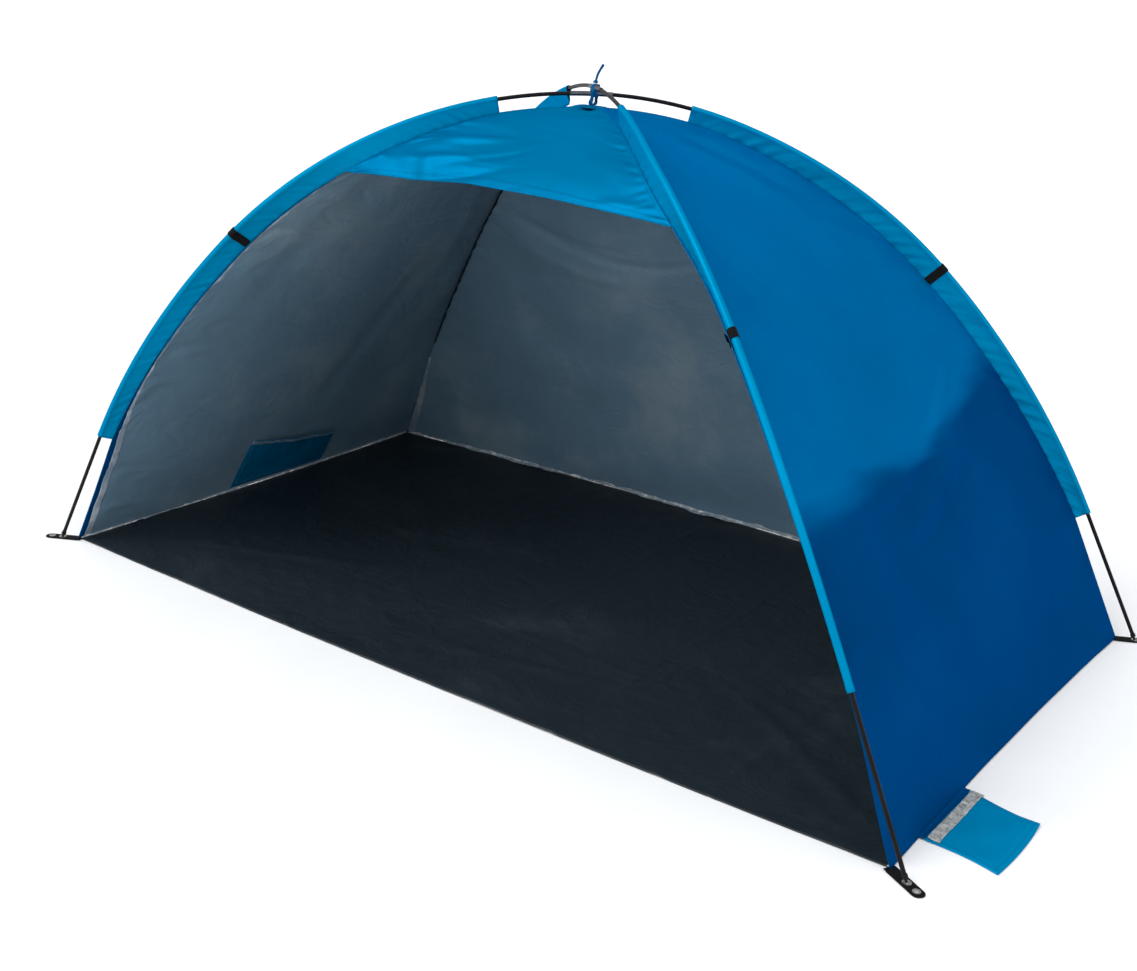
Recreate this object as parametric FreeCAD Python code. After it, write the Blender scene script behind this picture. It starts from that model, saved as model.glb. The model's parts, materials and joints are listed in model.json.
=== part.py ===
import FreeCAD, Part

import math
import os

# Open-fronted beach shelter on two crossed, sleeved poles, in millimetres.
# +X runs along its length, to the right for someone who looks in through the open front.
# The front faces -Y and +Z is up. The origin is on the ground, at the middle of the floor.
# A corner is a pair of signs (side, end): side -1 left, +1 right; end -1 front, +1 rear.
# Distances along a pole are measured from the crossing down to the foot.

Vector = FreeCAD.Vector

# Overall size
FLOOR_LENGTH = 2200.0
FLOOR_DEPTH = 1211.0
CROSSING_HEIGHT = 1152.5
CROSSING_RISE = 13.5

# Arch of each half pole from the crossing to the foot: (radius, slope in degrees at the arc's end)
FRONT_ARCH = ((1091.0, 20.8), (1159.0, 46.75), (1949.0, 64.5))
REAR_ARCH = ((951.0, 18.2), (1183.0, 43.5), (2016.0, 63.0))

# Tilt of each half pole out of the upright diagonal plane, in degrees
FRONT_TILT = 23.0
REAR_TILT = 11.0
CROSSING_TILT = 17.0
TILT_BLEND = 500.0

# The crossing sits a little to the left of the middle, and the arches follow it this far down
CROSSING_SHIFT = -26.0
SHIFT_FADE = 1000.0

# Poles
POLE_RADIUS = 4.25
POLE_BORE_RADIUS = 2.2
SECTION_COUNT = 6
FERRULE_REACH = 45.0
FERRULE_CLEARANCE = 0.3
FERRULE_WALL = 0.7
CORD_RADIUS = 1.25
LEG_LENGTH = 329.0

# Pole tips: a plastic plug with a shoulder on the tube's end and a pin below it
TIP_HEIGHT = 16.0
TIP_SHOULDER_RADIUS = 5.6
TIP_SHOULDER_LENGTH = 6.0
TIP_PIN_RADIUS = 2.5
TIP_GROUND_GAP = 0.4

# Sleeves: cloth fins between a pole and the canopy's seam
SLEEVE_TOP = 208.0
SLEEVE_INNER_RADIUS = 6.2
SLEEVE_WALL = 1.2
SLEEVE_STATIONS = 13
FIN_WIDTH_END = 28.0
FIN_WIDTH_MIDDLE = 42.0
FIN_WIDTH_FOOT = 38.0
FIN_EDGE_HALF = 1.9
FRONT_SWING = 27.0
SWING_START = 450.0
SWING_BLEND = 350.0

# Canopy panels
CLOTH = 1.5
SEAM_GAP = 2.0
PANEL_TOP = 34.0
PANEL_STATIONS = 11
AWNING_DROP = 584.0
AWNING_HEM_RISE = 18.0
END_WALL_SAG = -22.0
REAR_WALL_SAG = -30.0
AWNING_SAG = -8.0
SAG_AT_TOP = 0.04
END_FOOT_BOW = -10.0
REAR_FOOT_BOW = 34.0
FRONT_FOOT_BOW = 14.0
WALL_FOOT_HEIGHT = 2.6
PEAK_RADIUS = 30.0
PEAK_SLOPE = 4.0

# Corner tabs of webbing, each with one eyelet for the pole tip and one for a peg
TAB_WIDTH = 25.0
TAB_START = 1259.0
TAB_END = 1342.0
TAB_BOTTOM = 0.8
TAB_THICKNESS = 1.6
POLE_EYELET_REACH = 1299.0
PEG_EYELET_REACH = 1326.0
POLE_EYELET_BORE = 5.0
PEG_EYELET_BORE = 4.0
EYELET_WALL = 0.8
EYELET_FLANGE = 2.8
EYELET_HEIGHT = 3.2
EYELET_LIP = 0.7
EYELET_CLEARANCE = 0.2

# Ties across the sleeves
TIE_HEIGHT = 820.0
TIE_WIDTH = 20.0
TIE_CLEARANCE = 0.5
TIE_WALL = 1.3
TIE_TAIL_LENGTH = 26.0
TIE_TAIL_GAP = 1.2
TIE_TAIL_START = 0.25
TIE_TAIL_INSET = 1.0

# Tie at the crossing
LOOP_WIDTH = 10.0
LOOP_THICKNESS = 1.2
LOOP_HALF_SPAN = 12.5
LOOP_CLEARANCE = 1.0
PATCH_CLEARANCE = 0.5
KNOT_CLEARANCE = 0.4
KNOT_RADIUS = 7.0
KNOT_HEIGHT = 0.6
RIBBON_LENGTH = 34.0
RIBBON_WIDTH = 6.7
RIBBON_CLEARANCE = 1.0
RIBBON_LEAN = 28.0

# Sand pockets
POCKET_ROOT_X = 1106.0
POCKET_REACH = 148.0
POCKET_WIDTH = 214.0
POCKET_FLARE = 6.0
POCKET_THICKNESS = 3.0
POCKET_WAIST = 4.0
POCKET_STRIP_WIDTH = 22.0
POCKET_STRIP_HEIGHT = 2.0
POCKET_STRIP_GAP = 0.2
POCKET_STRIP_INSET = 4.0
RIGHT_POCKET_CENTRE = -376.0
LEFT_POCKET_CENTRE = -325.0
RIGHT_POCKET_SKEW = -24.0

# Storage pocket on the inside of the left end wall
INNER_POCKET_FRONT = -128.0
INNER_POCKET_REAR = 212.0
INNER_POCKET_TAPER = 30.0
INNER_POCKET_LOW = 22.0
INNER_POCKET_HIGH = 156.0
INNER_POCKET_MOUTH = 15.0
INNER_POCKET_SIDE = 3.5
INNER_POCKET_HEM = 14.0
INNER_POCKET_HEM_GAP = 0.3
INNER_POCKET_STATIONS = 4

FRONT = -1
REAR = 1
LEFT = -1
RIGHT = 1
CORNERS = {
    "front_left": (LEFT, FRONT),
    "front_right": (RIGHT, FRONT),
    "rear_left": (LEFT, REAR),
    "rear_right": (RIGHT, REAR),
}
# Pole a runs under pole b at the crossing. Each is named by its front corner and its rear corner.
POLES = {
    "a": ("front_left", "rear_right", 0.0),
    "b": ("front_right", "rear_left", CROSSING_RISE),
}

DIAGONAL = math.atan2(FLOOR_DEPTH, FLOOR_LENGTH)
UP = Vector(0, 0, 1)


# ---------------------------------------------------------------- arches

def profile_at(arch, distance):
    """Reach, height and slope (radians below level) of a half pole, in its own upright plane."""
    reach, height, slope = 0.0, CROSSING_HEIGHT, 0.0
    for radius, end_degrees in arch:
        end_slope = math.radians(end_degrees)
        length = radius * (end_slope - slope)
        here = min(distance, length)
        new_slope = slope + here / radius
        reach += radius * (math.sin(new_slope) - math.sin(slope))
        height -= radius * (math.cos(slope) - math.cos(new_slope))
        slope = new_slope
        distance -= here
        if distance <= 0:
            return reach, height, slope
    return reach + distance * math.cos(slope), height - distance * math.sin(slope), slope


def arch_of(corner):
    return FRONT_ARCH if CORNERS[corner][1] == FRONT else REAR_ARCH


def half_length(corner):
    """Length of a half pole from the crossing to the ground."""
    arch = arch_of(corner)
    curved = 0.0
    slope = 0.0
    for radius, end_degrees in arch:
        curved += radius * (math.radians(end_degrees) - slope)
        slope = math.radians(end_degrees)
    height = profile_at(arch, curved)[1]
    return curved + height / math.sin(slope)


def directions(corner):
    """Level unit vectors of a corner: out along the diagonal, and sideways to the middle of its edge."""
    side, end = CORNERS[corner]
    outward = Vector(side * math.cos(DIAGONAL), end * math.sin(DIAGONAL), 0)
    sideways = Vector(-side * math.sin(DIAGONAL), end * math.cos(DIAGONAL), 0)
    return outward, sideways


def ease(fraction):
    """Smooth rise from 0 at 0 to 1 at 1 and beyond."""
    return (1 - math.cos(math.pi * min(1.0, fraction))) / 2


def fin_swing(corner, distance):
    """Angle by which the end wall pulls a front fin round towards itself, below the awning."""
    if CORNERS[corner][1] != FRONT:
        return 0.0
    coming = ease(max(0.0, distance - SWING_START) / SWING_BLEND)
    going = ease(max(0.0, half_length(corner) - distance) / LEG_LENGTH)
    return math.radians(FRONT_SWING) * coming * going


def arch_point(corner, distance, inward=0.0, rise=0.0):
    """A point of a half pole, moved inward across the fin, with the crossing raised by rise."""
    arch = arch_of(corner)
    foot_reach = profile_at(arch, half_length(corner))[0]
    reach, height, slope = profile_at(arch, distance)
    chord = math.hypot(CROSSING_HEIGHT, foot_reach)
    off_chord = (CROSSING_HEIGHT * reach + foot_reach * (height - CROSSING_HEIGHT)) / chord
    tilt = FRONT_TILT if CORNERS[corner][1] == FRONT else REAR_TILT
    tilt = CROSSING_TILT + (tilt - CROSSING_TILT) * ease(distance / TILT_BLEND)
    outward, sideways = directions(corner)
    swing = fin_swing(corner, distance)
    reach -= inward * math.sin(slope) * math.cos(swing)
    lifted = height * (1 + rise / CROSSING_HEIGHT) - inward * math.cos(slope) * math.cos(swing)
    shift = CROSSING_SHIFT * (1 - ease(distance / SHIFT_FADE))
    bow = off_chord * math.tan(math.radians(tilt)) - inward * math.sin(swing)
    return outward * reach + sideways * bow + UP * lifted + Vector(shift, 0, 0)


def leg_top(corner):
    """Distance from the crossing to the lower end of the sleeve, where the bare leg starts."""
    return half_length(corner) - LEG_LENGTH


def fin_width(corner, distance):
    """Width of the cloth between the pole's centre line and the seam."""
    end = leg_top(corner)
    if distance > end:
        return FIN_WIDTH_END + (FIN_WIDTH_FOOT - FIN_WIDTH_END) * (distance - end) / LEG_LENGTH
    along = max(0.0, (distance - SLEEVE_TOP) / (end - SLEEVE_TOP))
    return FIN_WIDTH_END + (FIN_WIDTH_MIDDLE - FIN_WIDTH_END) * math.sin(math.pi * along)


def seam_point(corner, distance):
    return arch_point(corner, distance, fin_width(corner, distance))


def distance_at_height(point_at, low, high, height):
    """Distance along a falling curve where it comes down to a height, by bisection."""
    for _ in range(40):
        middle = (low + high) / 2
        if point_at(middle).z > height:
            low = middle
        else:
            high = middle
    return (low + high) / 2


# ---------------------------------------------------------------- poles

def arc_from(start, direction, end):
    """Arc that leaves start along direction and ends at end."""
    chord = end - start
    along = Vector(chord).normalize()
    bend = direction - along * direction.dot(along)
    if bend.Length < 1e-6:
        return Part.LineSegment(start, end).toShape()
    bulge = chord.Length / 2 * math.tan(math.asin(bend.Length) / 2)
    return Part.Arc(start, (start + end) / 2 + bend.normalize() * bulge, end).toShape()


def two_arcs(start, leaving, end, arriving):
    """Two arcs that meet smoothly, from start along leaving to end along arriving."""
    chord = end - start
    both = leaving + arriving
    spread = 2 * (1 - leaving.dot(arriving))
    if spread < 1e-9:
        reach = chord.dot(chord) / (2 * chord.dot(both))
    else:
        reach = (math.sqrt(chord.dot(both) ** 2 + spread * chord.dot(chord)) - chord.dot(both)) / spread
    middle = (start + end + (leaving - arriving) * reach) / 2
    second = arc_from(end, arriving * -1, middle)
    first = arc_from(start, leaving, middle)
    if isinstance(second.Curve, Part.Line):
        return [first, Part.LineSegment(middle, end).toShape()]
    halfway = second.Curve.value((second.FirstParameter + second.LastParameter) / 2)
    return [first, Part.Arc(middle, halfway, end).toShape()]


def pole_point(pole, along):
    """A point of a whole pole, with along measured from its front foot on the ground."""
    front, rear, rise = POLES[pole]
    from_crossing = along - half_length(front)
    if from_crossing < 0:
        return arch_point(front, -from_crossing, rise=rise)
    return arch_point(rear, from_crossing, rise=rise)


def pole_direction(pole, along):
    return (pole_point(pole, along + 1) - pole_point(pole, along - 1)).normalize()


def pole_edges(pole):
    """Centre line of each section as smooth arcs, and the pole's ends with their outward directions."""
    front, rear, _ = POLES[pole]
    start = TIP_HEIGHT / math.sin(math.radians(FRONT_ARCH[-1][1]))
    stop = half_length(front) + half_length(rear) - start
    length = (stop - start) / SECTION_COUNT
    middle = length / 2 - FERRULE_REACH
    sections = []
    for number in range(SECTION_COUNT):
        edges = []
        along = start + number * length
        for step in (FERRULE_REACH, middle, middle, FERRULE_REACH):
            edges += two_arcs(pole_point(pole, along), pole_direction(pole, along),
                              pole_point(pole, along + step), pole_direction(pole, along + step))
            along += step
        sections.append(edges)
    first_end = (pole_point(pole, start), pole_direction(pole, start) * -1)
    last_end = (pole_point(pole, stop), pole_direction(pole, stop))
    return sections, first_end, last_end


def rod_along(edges, radius):
    """Round rod along edges that follow one another."""
    start = edges[0].Curve.value(edges[0].FirstParameter)
    direction = edges[0].tangentAt(edges[0].FirstParameter)
    end = Part.Face(Part.Wire(Part.Circle(start, direction, radius).toShape()))
    return Part.Wire(edges).makePipe(end)


def tube_along(edges, outer, inner):
    return rod_along(edges, outer).cut(rod_along(edges, inner)).Solids[0]


def pole_tip(end, direction):
    """Plug on the end of a pole: a shoulder against the tube, then a round-ended pin."""
    shoulder = Part.makeCylinder(TIP_SHOULDER_RADIUS, TIP_SHOULDER_LENGTH, end, direction)
    lowest = TIP_GROUND_GAP + TIP_PIN_RADIUS
    pin_length = (end.z - lowest) / -direction.z
    pin = Part.makeCylinder(TIP_PIN_RADIUS, pin_length, end, direction)
    ball = Part.makeSphere(TIP_PIN_RADIUS, end + direction * pin_length)
    return shoulder.fuse([pin, ball]).removeSplitter().Solids[0]


def make_pole(pole):
    sections, first_end, last_end = pole_edges(pole)
    parts = {}
    for number, edges in enumerate(sections, 1):
        parts[f"pole_{pole}_section_{number}"] = tube_along(edges, POLE_RADIUS, POLE_BORE_RADIUS)
    inner = POLE_RADIUS + FERRULE_CLEARANCE
    ferrules = []
    for before, after in zip(sections, sections[1:]):
        ferrules.append(tube_along(before[-2:] + after[:2], inner + FERRULE_WALL, inner))
    parts[f"pole_{pole}_ferrules"] = Part.makeCompound(ferrules)
    whole = [edge for edges in sections for edge in edges]
    parts[f"pole_{pole}_shock_cord"] = rod_along(whole, CORD_RADIUS)
    front, rear, _ = POLES[pole]
    parts[f"pole_tip_{front}"] = pole_tip(*first_end)
    parts[f"pole_tip_{rear}"] = pole_tip(*last_end)
    return parts


# ---------------------------------------------------------------- sleeves and ties

def fin_frame(corner, distance):
    """Pole point, unit vector across the fin to the seam, and unit vector square to the fin."""
    rise = CROSSING_RISE if corner in POLES["b"] else 0.0
    point = arch_point(corner, distance, rise=rise)
    ahead = arch_point(corner, distance + 1, rise=rise)
    across = (arch_point(corner, distance, 1.0, rise) - point).normalize()
    face = across.cross((ahead - point).normalize()).normalize()
    return point, across, face


def teardrop(corner, distance, radius, edge_half, width):
    """Closed outline round the pole that narrows to a flat edge at the seam."""
    point, across, face = fin_frame(corner, distance)
    back = point - across * radius
    left = point + face * radius
    right = point - face * radius
    left_edge = point + across * width + face * edge_half
    right_edge = point + across * width - face * edge_half
    return Part.Wire([
        Part.Arc(left, back, right).toShape(),
        Part.LineSegment(right, right_edge).toShape(),
        Part.LineSegment(right_edge, left_edge).toShape(),
        Part.LineSegment(left_edge, left).toShape(),
    ])


def sleeve_width(corner, distance):
    """Width of a sleeve from the pole to just short of the canopy's seam."""
    rise = CROSSING_RISE if corner in POLES["b"] else 0.0
    lift = rise * arch_point(corner, distance).z / CROSSING_HEIGHT
    return fin_width(corner, distance) + lift / 2 - SEAM_GAP


def make_sleeve(corner):
    """Flat cloth tube round the pole, open at both ends."""
    outer, inner = [], []
    start, end = SLEEVE_TOP, leg_top(corner)
    radius = SLEEVE_INNER_RADIUS
    for index in range(SLEEVE_STATIONS):
        distance = start + (end - start) * index / (SLEEVE_STATIONS - 1)
        width = sleeve_width(corner, distance)
        outer.append(teardrop(corner, distance, radius + SLEEVE_WALL, FIN_EDGE_HALF, width))
        inner.append(teardrop(corner, distance, radius, FIN_EDGE_HALF - SLEEVE_WALL, width - SLEEVE_WALL))
    return Part.makeLoft(outer, True).cut(Part.makeLoft(inner, True)).Solids[0]


def tie_distance(corner):
    return distance_at_height(lambda d: arch_point(corner, d), SLEEVE_TOP, leg_top(corner), TIE_HEIGHT)


def make_tie(corner):
    """Webbing band that wraps the sleeve and the pole inside it."""
    distance = tie_distance(corner)
    width = sleeve_width(corner, distance)
    inner_radius = SLEEVE_INNER_RADIUS + SLEEVE_WALL + TIE_CLEARANCE
    inner_half = FIN_EDGE_HALF + TIE_CLEARANCE
    outer, inner = [], []
    for end in (-TIE_WIDTH / 2, TIE_WIDTH / 2):
        place = distance + end
        outer.append(teardrop(corner, place, inner_radius + TIE_WALL, inner_half + TIE_WALL,
                              width - SEAM_GAP))
        inner.append(teardrop(corner, place, inner_radius, inner_half, width - SEAM_GAP))
    return Part.makeLoft(outer, True).cut(Part.makeLoft(inner, True)).Solids[0]


def tie_tail_frame(corner):
    """Hinge point of a tie's loose end, the way the end lies, and the way it opens."""
    distance = tie_distance(corner)
    point, across, face = fin_frame(corner, distance)
    if face.y * CORNERS[corner][1] < 0:
        face = face * -1
    width = sleeve_width(corner, distance)
    edge = FIN_EDGE_HALF + TIE_CLEARANCE + TIE_WALL + TIE_TAIL_GAP
    side = SLEEVE_INNER_RADIUS + SLEEVE_WALL + TIE_CLEARANCE + TIE_WALL + TIE_TAIL_GAP
    start = point + across * (width * TIE_TAIL_START) + face * (side + (edge - side) * TIE_TAIL_START)
    toward = (point + across * width + face * edge - start).normalize()
    opening = (face - toward * face.dot(toward)).normalize()
    return start, toward, opening


def make_tie_tail(corner):
    """Hook-and-loop end of a tie, lying along the band on the fin's outer face."""
    start, toward, opening = tie_tail_frame(corner)
    side = toward.cross(opening) * (TIE_WIDTH / 2 - TIE_TAIL_INSET)
    reach = toward * TIE_TAIL_LENGTH
    corners = [start - side, start + side, start + side + reach, start - side + reach]
    return Part.Face(Part.makePolygon(corners + corners[:1])).extrude(opening * TIE_WALL)


# ---------------------------------------------------------------- canopy panels

PANELS = {
    "left_end_wall": ("front_left", "rear_left", END_WALL_SAG, END_FOOT_BOW, Vector(-1, 0, 0)),
    "right_end_wall": ("front_right", "rear_right", END_WALL_SAG, END_FOOT_BOW, Vector(1, 0, 0)),
    "rear_wall": ("rear_left", "rear_right", REAR_WALL_SAG, REAR_FOOT_BOW, Vector(0, 1, 0)),
    "front_awning": ("front_left", "front_right", AWNING_SAG, 0.0, Vector(0, -1, 0)),
}


def panel_frame(name, along):
    """Seam points at a fraction of the way down, the middle's offset, and the outward normal."""
    first, second, sag, foot_bow, out = PANELS[name]
    ends = []
    for corner in (first, second):
        end = AWNING_DROP
        if name != "front_awning":
            end = distance_at_height(lambda d: seam_point(corner, d), leg_top(corner),
                                     half_length(corner), WALL_FOOT_HEIGHT)
        ends.append(PANEL_TOP + (end - PANEL_TOP) * along)
    a, b = seam_point(first, ends[0]), seam_point(second, ends[1])
    ahead = (seam_point(first, ends[0] + 1) + seam_point(second, ends[1] + 1)) / 2
    down = (ahead - (a + b) / 2).normalize()
    normal = (b - a).cross(down).normalize()
    if normal.dot(out + UP) < 0:
        normal = normal * -1
    offset = normal * (sag * math.sin(math.pi * max(along, SAG_AT_TOP)))
    if name == "front_awning":
        offset -= down * (AWNING_HEM_RISE * along ** 3)
    else:
        offset += out * (foot_bow * along ** 4)
    return a, b, offset, normal


def panel_point(name, along, across, depth=0.0):
    """Point of a panel: across runs from -1 at its first seam to 1, and depth goes inward."""
    a, b, offset, normal = panel_frame(name, along)
    point = (a + b) / 2 + (b - a) * (across / 2) + offset * (1 - across ** 2)
    return point - normal * depth


def patch_arc(name, along, low, high, depth):
    """Arc across a panel at a fraction of the way down, between two places across it."""
    places = (low, (low + high) / 2, high)
    return Part.Wire(Part.Arc(*[panel_point(name, along, place, depth) for place in places]).toShape())


def sheet_solid(outer_arcs, inner_arcs):
    """Closed sheet between a smooth surface through the outer arcs and one through the inner arcs."""
    outer = Part.makeLoft(outer_arcs, False).Faces[0]
    inner = Part.makeLoft(inner_arcs, False).Faces[0]
    edges = [Part.makeRuledSurface(a, b) for a, b in zip(outer.Edges, inner.Edges)]
    shell = Part.makeShell([outer, inner] + edges)
    shell.sewShape()
    solid = Part.makeSolid(shell)
    return solid if solid.Volume > 0 else solid.reversed()


def make_panel(name):
    """One continuous curved sheet between two seams, from the peak down to its lower edge."""
    outer, inner = [], []
    for index in range(PANEL_STATIONS):
        along = index / (PANEL_STATIONS - 1)
        a, b, _, _ = panel_frame(name, along)
        edge = 1 - 2 * SEAM_GAP / (b - a).Length
        outer.append(patch_arc(name, along, -edge, edge, 0.0))
        inner.append(patch_arc(name, along, -edge, edge, CLOTH))
    return sheet_solid(outer, inner)


def bowed_edge(start, end, out, bow):
    middle = (start + end) / 2 + out * bow
    return Part.Arc(start, middle, end).toShape()


def make_groundsheet():
    """Flat floor with its edges bowed as the walls pull them."""
    x, y = FLOOR_LENGTH / 2 - SEAM_GAP, FLOOR_DEPTH / 2 - SEAM_GAP
    front_left, front_right = Vector(-x, -y, 0), Vector(x, -y, 0)
    rear_right, rear_left = Vector(x, y, 0), Vector(-x, y, 0)
    outline = Part.Wire([
        bowed_edge(front_left, front_right, Vector(0, -1, 0), FRONT_FOOT_BOW),
        bowed_edge(front_right, rear_right, Vector(1, 0, 0), END_FOOT_BOW),
        bowed_edge(rear_right, rear_left, Vector(0, 1, 0), REAR_FOOT_BOW),
        bowed_edge(rear_left, front_left, Vector(-1, 0, 0), END_FOOT_BOW),
    ])
    return Part.Face(outline).extrude(UP * CLOTH)


def peak_height():
    return seam_point("front_left", 0.0).z


def make_peak_patch():
    """Shallow round cap over the point where the four panels meet."""
    top = peak_height() + CLOTH
    rim = top - PEAK_RADIUS * math.tan(math.radians(PEAK_SLOPE))
    profile = Part.makePolygon([
        Vector(0, 0, top), Vector(PEAK_RADIUS, 0, rim),
        Vector(PEAK_RADIUS, 0, rim + CLOTH), Vector(0, 0, top + CLOTH), Vector(0, 0, top),
    ])
    patch = Part.Face(profile).revolve(Vector(0, 0, 0), UP, 360)
    patch.translate(Vector(CROSSING_SHIFT, 0, 0))
    return patch


# ---------------------------------------------------------------- crossing tie

def crossing_top():
    return CROSSING_HEIGHT + CROSSING_RISE + POLE_RADIUS + FERRULE_CLEARANCE + FERRULE_WALL


def make_crossing_loop():
    """Ribbon loop from the peak patch up round both poles where they cross."""
    low = peak_height() + 2 * CLOTH + PATCH_CLEARANCE
    span, height = 2 * LOOP_HALF_SPAN, crossing_top() + LOOP_CLEARANCE - low
    corner = Vector(CROSSING_SHIFT - LOOP_WIDTH / 2, -LOOP_HALF_SPAN, low)
    hole = Part.makeBox(LOOP_WIDTH, span, height - LOOP_THICKNESS, corner + UP * LOOP_THICKNESS)
    outside = Part.makeBox(LOOP_WIDTH, span + 2 * LOOP_THICKNESS, height + LOOP_THICKNESS,
                           corner - Vector(0, LOOP_THICKNESS, 0))
    return outside.cut(hole).Solids[0]


def knot_centre():
    loop_top = crossing_top() + LOOP_CLEARANCE + LOOP_THICKNESS
    return Vector(CROSSING_SHIFT, 0, loop_top + KNOT_CLEARANCE + KNOT_RADIUS * KNOT_HEIGHT)


def make_crossing_knot():
    """Flattened knot that closes the loop on top of the poles."""
    knot = Part.makeSphere(KNOT_RADIUS)
    squash = FreeCAD.Matrix()
    squash.scale(1.0, 1.0, KNOT_HEIGHT)
    knot = knot.transformGeometry(squash)
    knot.translate(knot_centre())
    return knot


def make_ribbon_tail():
    """Doubled ribbon end that stands up from the knot and leans to the right."""
    lean = math.radians(RIBBON_LEAN)
    direction = Vector(math.sin(lean), 0, math.cos(lean))
    across = Vector(0, 1, 0)
    start = knot_centre() + direction * (KNOT_RADIUS + RIBBON_CLEARANCE)
    side = across * (RIBBON_WIDTH / 2)
    reach = direction * RIBBON_LENGTH
    outline = [start - side, start + side, start + side + reach, start - side + reach]
    thick = direction.cross(across).normalize() * (2 * LOOP_THICKNESS)
    return Part.Face(Part.makePolygon(outline + outline[:1])).extrude(thick)


# ---------------------------------------------------------------- corner tabs

def corner_transform(shape, corner):
    """Turns a shape that was made along +X so that it lies along a corner's diagonal."""
    outward, _ = directions(corner)
    shape.rotate(Vector(0, 0, 0), UP, math.degrees(math.atan2(outward.y, outward.x)))
    return shape


def make_corner_tab(corner):
    """Webbing strap with a rounded end and a hole for each eyelet."""
    half = TAB_WIDTH / 2
    straight = TAB_END - half
    strap = Part.makeBox(straight - TAB_START, TAB_WIDTH, TAB_THICKNESS, Vector(TAB_START, -half, TAB_BOTTOM))
    end = Part.makeCylinder(half, TAB_THICKNESS, Vector(straight, 0, TAB_BOTTOM))
    tab = strap.fuse(end).removeSplitter()
    for reach, bore in ((POLE_EYELET_REACH, POLE_EYELET_BORE), (PEG_EYELET_REACH, PEG_EYELET_BORE)):
        hole_radius = bore + EYELET_WALL + EYELET_CLEARANCE
        tab = tab.cut(Part.makeCylinder(hole_radius, TAB_THICKNESS, Vector(reach, 0, TAB_BOTTOM)))
    return corner_transform(tab.Solids[0], corner)


def make_eyelet(corner, reach, bore):
    """Rolled metal eyelet: a short tube with a flange on each side of the webbing."""
    wall = bore + EYELET_WALL
    flange = wall + EYELET_FLANGE
    profile = Part.makePolygon([
        Vector(bore, 0, 0), Vector(flange, 0, 0), Vector(flange, 0, EYELET_LIP), Vector(wall, 0, EYELET_LIP),
        Vector(wall, 0, EYELET_HEIGHT - EYELET_LIP), Vector(flange, 0, EYELET_HEIGHT - EYELET_LIP),
        Vector(flange, 0, EYELET_HEIGHT), Vector(bore, 0, EYELET_HEIGHT), Vector(bore, 0, 0),
    ])
    eyelet = Part.Face(profile).revolve(Vector(0, 0, 0), UP, 360)
    eyelet.translate(Vector(reach, 0, 0))
    return corner_transform(eyelet, corner)


# ---------------------------------------------------------------- pockets

def pocket_outline(centre, side, skew):
    """Outline of a sand pocket that lies flat, from its root out to its slightly wider far edge."""
    half, far = POCKET_WIDTH / 2, POCKET_WIDTH / 2 - POCKET_FLARE
    near_x, far_x = side * POCKET_ROOT_X, side * (POCKET_ROOT_X + POCKET_REACH)
    return [
        Vector(near_x, centre - half, 0), Vector(far_x, centre + skew - far, 0),
        Vector(far_x, centre + skew + far, 0), Vector(near_x, centre + half, 0),
    ]


def make_sand_pocket(centre, side, skew):
    """Empty two-layer pocket, flat on the ground, with gently waisted side edges."""
    a, b, c, d = pocket_outline(centre, side, skew)
    waist = Vector(0, POCKET_WAIST, 0)
    edges = [
        Part.Arc(a, (a + b) / 2 + waist, b).toShape(),
        Part.LineSegment(b, c).toShape(),
        Part.Arc(c, (c + d) / 2 - waist, d).toShape(),
        Part.LineSegment(d, a).toShape(),
    ]
    return Part.Face(Part.Wire(edges)).extrude(UP * POCKET_THICKNESS)


def make_pocket_strip(centre, side):
    """Hook-and-loop strip along the pocket's mouth, on its upper layer."""
    near = side * (POCKET_ROOT_X + POCKET_STRIP_INSET)
    start = min(near, near + side * POCKET_STRIP_WIDTH)
    length = POCKET_WIDTH - 2 * POCKET_STRIP_INSET
    corner = Vector(start, centre - length / 2, POCKET_THICKNESS + POCKET_STRIP_GAP)
    return Part.makeBox(POCKET_STRIP_WIDTH, length, POCKET_STRIP_HEIGHT, corner)


def inner_pocket_along(height):
    """Fraction of the way down the left end wall where its middle is at a height."""
    return distance_at_height(lambda t: panel_point("left_end_wall", t, 0.0), 0.5, 1.0, height)


def inner_pocket_arc(height, stand_off):
    along = inner_pocket_along(height)
    a, b, _, _ = panel_frame("left_end_wall", along)
    scale = 2 / (b - a).Length
    rise = (height - INNER_POCKET_LOW) / (INNER_POCKET_HIGH - INNER_POCKET_LOW)
    front = (INNER_POCKET_FRONT + INNER_POCKET_TAPER * rise) * scale
    return patch_arc("left_end_wall", along, front, INNER_POCKET_REAR * scale, CLOTH + stand_off)


def inner_pocket_stand_off(height):
    """Gap between the wall and the pocket's cloth: closed at the bottom, open at the mouth."""
    rise = (height - INNER_POCKET_LOW) / (INNER_POCKET_HIGH - INNER_POCKET_LOW)
    return INNER_POCKET_SIDE + (INNER_POCKET_MOUTH - INNER_POCKET_SIDE) * rise


def make_inner_pocket(low, high, extra):
    """Cloth of the storage pocket between two heights, set off from the wall."""
    outer, inner = [], []
    for index in range(INNER_POCKET_STATIONS):
        height = low + (high - low) * index / (INNER_POCKET_STATIONS - 1)
        stand_off = inner_pocket_stand_off(height) + extra
        outer.append(inner_pocket_arc(height, stand_off))
        inner.append(inner_pocket_arc(height, stand_off + CLOTH))
    return sheet_solid(outer, inner)


# ---------------------------------------------------------------- the whole shelter

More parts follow.
